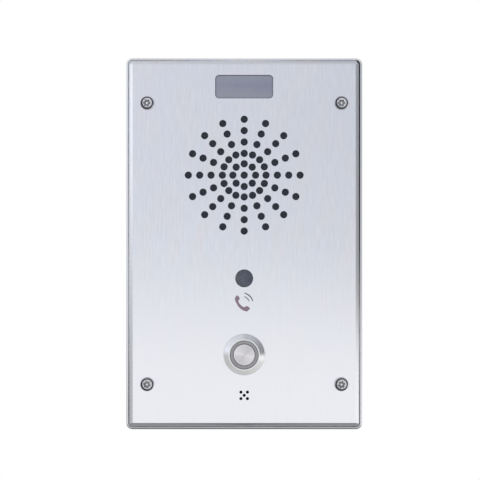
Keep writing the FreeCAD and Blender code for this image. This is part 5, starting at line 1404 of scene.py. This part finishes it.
spacer_side = softened([(0, -47.0), (2.5, -47.0), (2.5, -39.0), (1.5, -39.0)], 0.2)[1:-1]
serrated = [
    (lambda angle: 2.6 + 0.07 * math.sin(angle * 24), depth) for depth in (-44.8, -43.6)
]
press_nut = [(2.25, -44.9), (2.5, -44.9), *serrated, (2.6, -43.5)]
press_nut += softened([(2.6, -43.5), (4.0, -43.5), (4.0, -40.5), (2.25, -40.5)], 0.15)[1:]
press_nut += threaded(2.05, -40.7, -44.7, 0.7, -1)
stud_pitch, stud_nut = 58.69, nut(5.5, 1.55, -41.6, -39.2, 0.5)
stud = [(0, -47.0), (1.9, -47.0), (2.0, -46.9), (2.0, -46.4), (1.5, -46.4)]
stud += threaded(1.5, -46.0, -38.5, 0.5) + [(1.25, -38.2), (0, -38.2)]
board_post = standoff(hex_side(5.5, plate_back, board_front), board_front, 1.55, -25.4, 0.5)
camera_post = standoff(hex_side(4.5, plate_back, -28.6), -28.6, 1.3, -33.9, 0.45)
spacer = standoff(spacer_side, -39.0, 1.3, -44.3, 0.45)
board_at, camera_at, light_at = ((0, up) for up in (board_up, camera_up, light_up))
board_screw = cross_screw(-16.0, 2.75, 2.0, 1.5, -24.6, 1.53, 0.5)
camera_screw, light_screw = (
    cross_screw(top, 2.3, 1.5, 1.25, top - 7.6, 1.28, 0.45) for top in (-25.5, -35.9)
)
hardware = (
    ("board_screws", board_screw, "zinc_plate", board_at, posts_across, posts_up),
    ("camera_screws", camera_screw, "zinc_plate", camera_at, 25, 25),
    ("light_screws", light_screw, "zinc_plate", light_at, 48, 0),
    ("speaker_studs", stud, "zinc_plate", speaker, stud_pitch, stud_pitch),
    ("speaker_nuts", stud_nut, "zinc_plate", speaker, stud_pitch, stud_pitch),
    ("press_nuts", press_nut, "zinc_plate", (0, 0), screws_across, screws_up),
    ("board_standoffs", board_post, "nickel_plate", board_at, posts_across, posts_up),
    ("camera_standoffs", camera_post, "nickel_plate", camera_at, 25, 25),
    ("light_spacers", spacer, "white_plastic", light_at, 48, 0),
)
for number, (node, profile, finish, middle, across, up) in enumerate(hardware):
    seed = 0 if "standoffs" in node or "nuts" in node else number + 1
    shape = spun(profile, steps=48)
    copies = in_rows(node + ".rows", shape, finish, middle, 2, 2 if up else 1, across, up, seed)
    even(settle(sewn(copies, 85), node))

earth_profile = [(0, -3.2), (3.1, -3.2), (3.2, -3.3), (3.2, -3.9), (3.1, -4.0), (2.0, -4.0)]
earth_profile += threaded(2.0, -4.6, -14.9, 0.7) + [(1.7, -15.2), (0, -15.2)]
button_nut = hex_side(22.0, -47.0, -44.0, 0.54)
button_nut += [(9.75, -44.0), (9.45, -44.3), (9.45, -46.7), (9.75, -47.0)]
for node, profile, middle in (
    ("earth_stud", earth_profile, (-49.65, 70.0)), ("button_nut", button_nut, axis)
):
    even(settle(sewn(spun(profile, middle, fine_steps), 85), node, "polished_steel"))

# %% [markdown]
# The return spring of the button is a coil of wire with closed ends: its first and last turn lie
# close, and the turns between them are spread. Geometry Nodes lifts a flat spiral by that rule and
# sweeps the wire along it. In the real button a press squeezes the spring towards its contact
# block; here the coil rides on the panel at one length.

# %% Return spring
spring_sizes = {
    "Turns": 4.0, "Radius": 4.2, "Wire": 0.35, "Closed pitch": 0.72, "Length": 5.35, "Steps": 48,
}
rule = Pattern("return_spring", spring_sizes)
flat_coil = rule.geo(
    "CurveSpiral",
    Resolution=rule["Steps"],
    Rotations=rule["Turns"],
    Start_Radius=rule["Radius"],
    End_Radius=rule["Radius"],
    Height=0.0,
)
along = rule.geo("SplineParameter", "Factor") * rule["Turns"]
spare = rule["Length"] - rule["Wire"] * 2 - rule["Turns"] * rule["Closed pitch"]
opened = along.ramp(0.8, rule["Turns"] - 0.8)
x, y, z = rule.place()
height = along * rule["Closed pitch"] + opened * spare + rule["Wire"]
coil = rule.geo("SetPosition", Geometry=flat_coil, Position=rule.vector(x, y, height))
wire_round = rule.geo(
    "CurvePrimitiveCircle", mode="RADIUS", Resolution=12, Radius=rule["Wire"]
)
swept = rule.geo("CurveToMesh", Curve=coil, Profile_Curve=wire_round, Fill_Caps=True)
stood = rule.stood_up(swept, (0, -36.55, button_up))
spring = settle(sewn(rule.grown(stood, "spring_wire"), 60), "button_spring")
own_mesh(spring)

# %% [markdown]
# On the main board the chips have legs, and every part that goes through the board ends in a point
# of solder on the other side. A leg is a bent strip, and a pattern with a number of sides and legs
# sets it round each chip. The capacitors are cans with a rolled groove near the foot. Their printed
# sleeve leaves the scored top bare.

# %% Parts on the boards
def strip(path, width, thickness, unit=1.0):
    """A strip of metal along a path of (second, third) axis points, its width along the first."""
    rows = []
    for number, (second, third) in enumerate(path):
        ahead = Vector(path[min(number + 1, len(path) - 1)]) - Vector(path[max(number - 1, 0)])
        aside = Vector((-ahead.y, ahead.x)).normalized() * thickness / 2
        rows.append(
            [
                Vector((side * width / 2, second + aside.x * up, third + aside.y * up)) * unit
                for side, up in ((-1, -1), (1, -1), (1, 1), (-1, 1))
            ]
        )
    return sharpened(skinned(rows), 40)


def legs_round(name, middle, height, sides, legs, pitch, reach):
    """Bent legs in rows along the sides of a chip, on the front of the main board."""
    rule = Pattern(name, {"Sides": sides, "Legs": legs, "Pitch": pitch, "Reach": reach})
    step, side = rule.counted(rule["Legs"])
    shift, angle = step * rule["Pitch"], side * (2 * math.pi) / rule["Sides"]
    sine, cosine = angle.maths("SINE"), angle.maths("COSINE")
    place = rule.vector(
        shift * cosine - rule["Reach"] * sine, shift * sine + rule["Reach"] * cosine
    )
    path = [(-0.95, height), (-0.55, height), (-0.42, height - 0.1)]
    path += [(-0.36, 0.2), (-0.25, 0.09), (0, 0.08)]
    bent = rule.source(strip(path, pitch * 0.45, 0.14))
    points = rule.points(rule["Sides"] * rule["Legs"], place)
    copies = rule.on_points(points, bent, rule.vector(z=angle))
    return rule.grown(rule.stood_up(copies, (middle[0], board_front, middle[1])), "zinc_plate")


def chip_body(middle, width, height, thick):
    """A moulded case, widest at its parting line."""
    loops = []
    for inset, rise in (
        (0.25, 0.12), (0.04, thick * 0.5), (0.06, thick * 0.56), (0.24, thick - 0.05), (0.3, thick)
    ):
        outline = rounded(width - inset * 2, height - inset * 2, 0.25, 4)
        loops.append(([(x + middle[0], z + middle[1]) for x, z in outline], board_front - rise))
    return lofted(loops, capped=True)


def merged(meshes):
    """Several meshes as one, with the finish of the first."""
    result = smooth(work_on(*meshes))
    for material in meshes[0].materials:
        result.materials.append(material)
    return result


chips = (
    ("processor", (28.0, -31.0), 12.4, 12.4, 1.4, (4, 16, 0.72, 7.0)),
    ("network_chip", (28.0, -7.0), 5.6, 5.6, 1.4, (4, 8, 0.62, 3.5)),
    ("line_coils", (28.0, -67.0), 12.7, 5.4, 5.5, (2, 8, 1.27, 3.5)),
)
bodies = [chip_body(*body) for name, *body, rows in chips]
legs = [
    legs_round(name + "_legs", middle, min(0.75, thick / 2), *rows)
    for name, middle, width, height, thick, rows in chips
]
settle(merged(bodies), "board_chips", "black_plastic", sharp=20)
settle(merged(legs), "board_chips.legs", slot="zinc_plated")

cans_at, can_pitch = (-30, -45), 13
finish = Finish("capacitor_can")
x, y, z = finish.place((cans_at[0], 0, cans_at[1]))
bare = 1 - y.ramp(-31.35, -31.2)
stripe = (x * -1).ramp(2.6, 2.8) * (1 - bare)
score = (1 - abs(x).least(abs(z.from_nearest(can_pitch))).ramp(0.10, 0.16)) * bare
fine = finish.grain(0.5)
sleeve = finish.mix(
    stripe,
    finish.mix(fine, (0.020, 0.026, 0.050), (0.028, 0.034, 0.062)),
    finish.mix(fine, (0.44, 0.46, 0.48), (0.52, 0.54, 0.56)),
)
finish.feed(
    Base_Color=finish.mix(
        bare, sleeve, finish.mix(fine, (0.70, 0.71, 0.73), (0.78, 0.79, 0.81))
    ),
    Metallic=bare,
    Roughness=0.30 + fine * 0.12,
    Normal=finish.relief(score * -1 + fine * 0.05, 0.12),
)
can = softened([(0, -31.5), (3.3, -31.5), (3.45, -31.6), (4.0, -31.1), (4.0, -21.7)], 0.1)
can += softened(
    [(4.0, -21.5), (3.6, -21.25), (3.6, -21.05), (4.0, -20.8), (4.0, -19.6), (0, -19.6)], 0.12
)
shape = spun(can, steps=48)
cans = in_rows("three_cans", shape, "capacitor_can", cans_at, 1, 3, 0, can_pitch, seed=0)
even(settle(sewn(cans, 70), "capacitors"))

drop = [(0, -17.1), (0.22, -17.12), (0.3, -17.3), (0.45, -17.7), (0.85, -18.0)]
drop += [(0.85, -18.05), (0, -18.05)]
rear_point, front_point = (
    spun(profile, steps=16)
    for profile in (drop, [(radius, board_front + board_back - y) for radius, y in drop])
)
solder = [
    in_rows("solder_rows", mesh, "zinc_plate", middle, columns, rows, across, up, seed=7)
    for mesh, middle, columns, rows, across, up in (
        (rear_point, cans_at, 2, 3, 3.5, can_pitch),
        (rear_point, (-12, 8), 2, 1, 2.5, 0),
        (rear_point, (30, 8), 2, 1, 2.5, 0),
        (rear_point, (-10, -75.5), 3, 1, 2.5, 0),
        (rear_point, (14, mic_up), 2, 1, 2.5, 0),
        (front_point, (-22, 11.5), 8, 1, 3.5, 0),
        (front_point, (20, -3.5), 4, 2, 2.04, 2.54),
    )
]
settle(merged(solder), "board.solder", slot="zinc_plated")

contact = strip([(-15.8, 13.2), (-15.4, 12.6), (-12.4, 4.0), (-12.2, 3.0)], 0.45, 0.25, MM)
contacts = in_rows("jack_contacts", contact, "contact_brass", (20, 0), 8, 1, 1.27, 0, seed=0)
settle(contacts, "network_jack.contacts", slot="contact_brass")
print("parts on the boards", [o.name for o in scene.objects if "chips" in o.name])

# %% [markdown]
# Above the button a call sign is printed: a plain telephone handset and two arcs of sound. It is a
# thin layer of ink, so it is a flat shape with a hair's thickness. The handset is one smooth closed
# line through a few listed points, and the arcs are bands that thin out at their ends.

# %% Call sign
def smooth_outline(points):
    """A closed curve through the points, each stretch bent by its neighbours."""
    count, line = len(points), []
    for number in range(count):
        a, b, c, d = (Vector(points[(number + off) % count]) for off in (-1, 0, 1, 2))
        for t in spaced(0, 1, 6)[:-1]:
            square, cube = (2 * a - 5 * b + 4 * c - d) * t**2, (3 * b - a - 3 * c + d) * t**3
            line.append(0.5 * (2 * b + (c - a) * t + square + cube))
    return line


def band_on_arc(radius, start, end, width):
    """The outline of a band along an arc, from one angle to another, thinner at its ends."""
    earpiece, sides = (-1.2, -32.4), ([], [])
    for share in spaced(0, 1, 24):
        angle = math.radians(start + (end - start) * share)
        half = width / 2 * (0.45 + 0.55 * math.sin(math.pi * share) ** 0.5)
        for side, reach in zip(sides, (radius + half, radius - half)):
            side.append(on_circle(earpiece, reach, angle))
    return sides[0] + sides[1][::-1]


def printed(name, outlines, dark, light):
    """Flat ink in these outlines of (x, z) points, a little proud of the plate."""
    ink = Finish(name + "_ink", Specular_IOR_Level=0.4)
    pores = ink.grain(0.18)
    ink.feed(Base_Color=ink.mix(pores, dark, light), Roughness=0.5 + pores * 0.2)
    face_up, sunk_in = face - 0.03 * MM, face + 0.01 * MM
    shapes = [
        skinned([[(x * MM, depth, z * MM) for x, z in outline] for depth in (face_up, sunk_in)])
        for outline in outlines
    ]
    settle(merged(shapes), name, name + "_ink", slot="plate_stainless", sharp=30)


handset = [
    (-3.75, -27.7), (-3.1, -28.2), (-2.45, -29.05), (-2.5, -29.7), (-3.0, -30.4), (-3.0, -31.2),
    (-2.3, -32.4), (-1.3, -33.4), (-0.2, -34.0), (0.7, -33.8), (1.3, -33.4), (2.1, -33.75),
    (3.1, -34.6), (2.9, -35.1), (1.9, -36.1), (1.3, -36.35), (0.2, -36.1), (-1.6, -35.2),
    (-3.2, -33.6), (-4.4, -31.5), (-5.0, -29.9), (-4.9, -29.1), (-4.2, -28.0),
]
waves = [band_on_arc(6.0, 79, 14, 0.62), band_on_arc(4.15, 75, 20, 0.48)]
plum = (0.235, 0.175, 0.220), (0.285, 0.215, 0.270)
grey = (0.07, 0.07, 0.08), (0.10, 0.10, 0.11)
printed("call_sign.handset", [smooth_outline(handset)], *plum)
printed("call_sign.waves", waves, *grey)
print("call sign printed above the button")
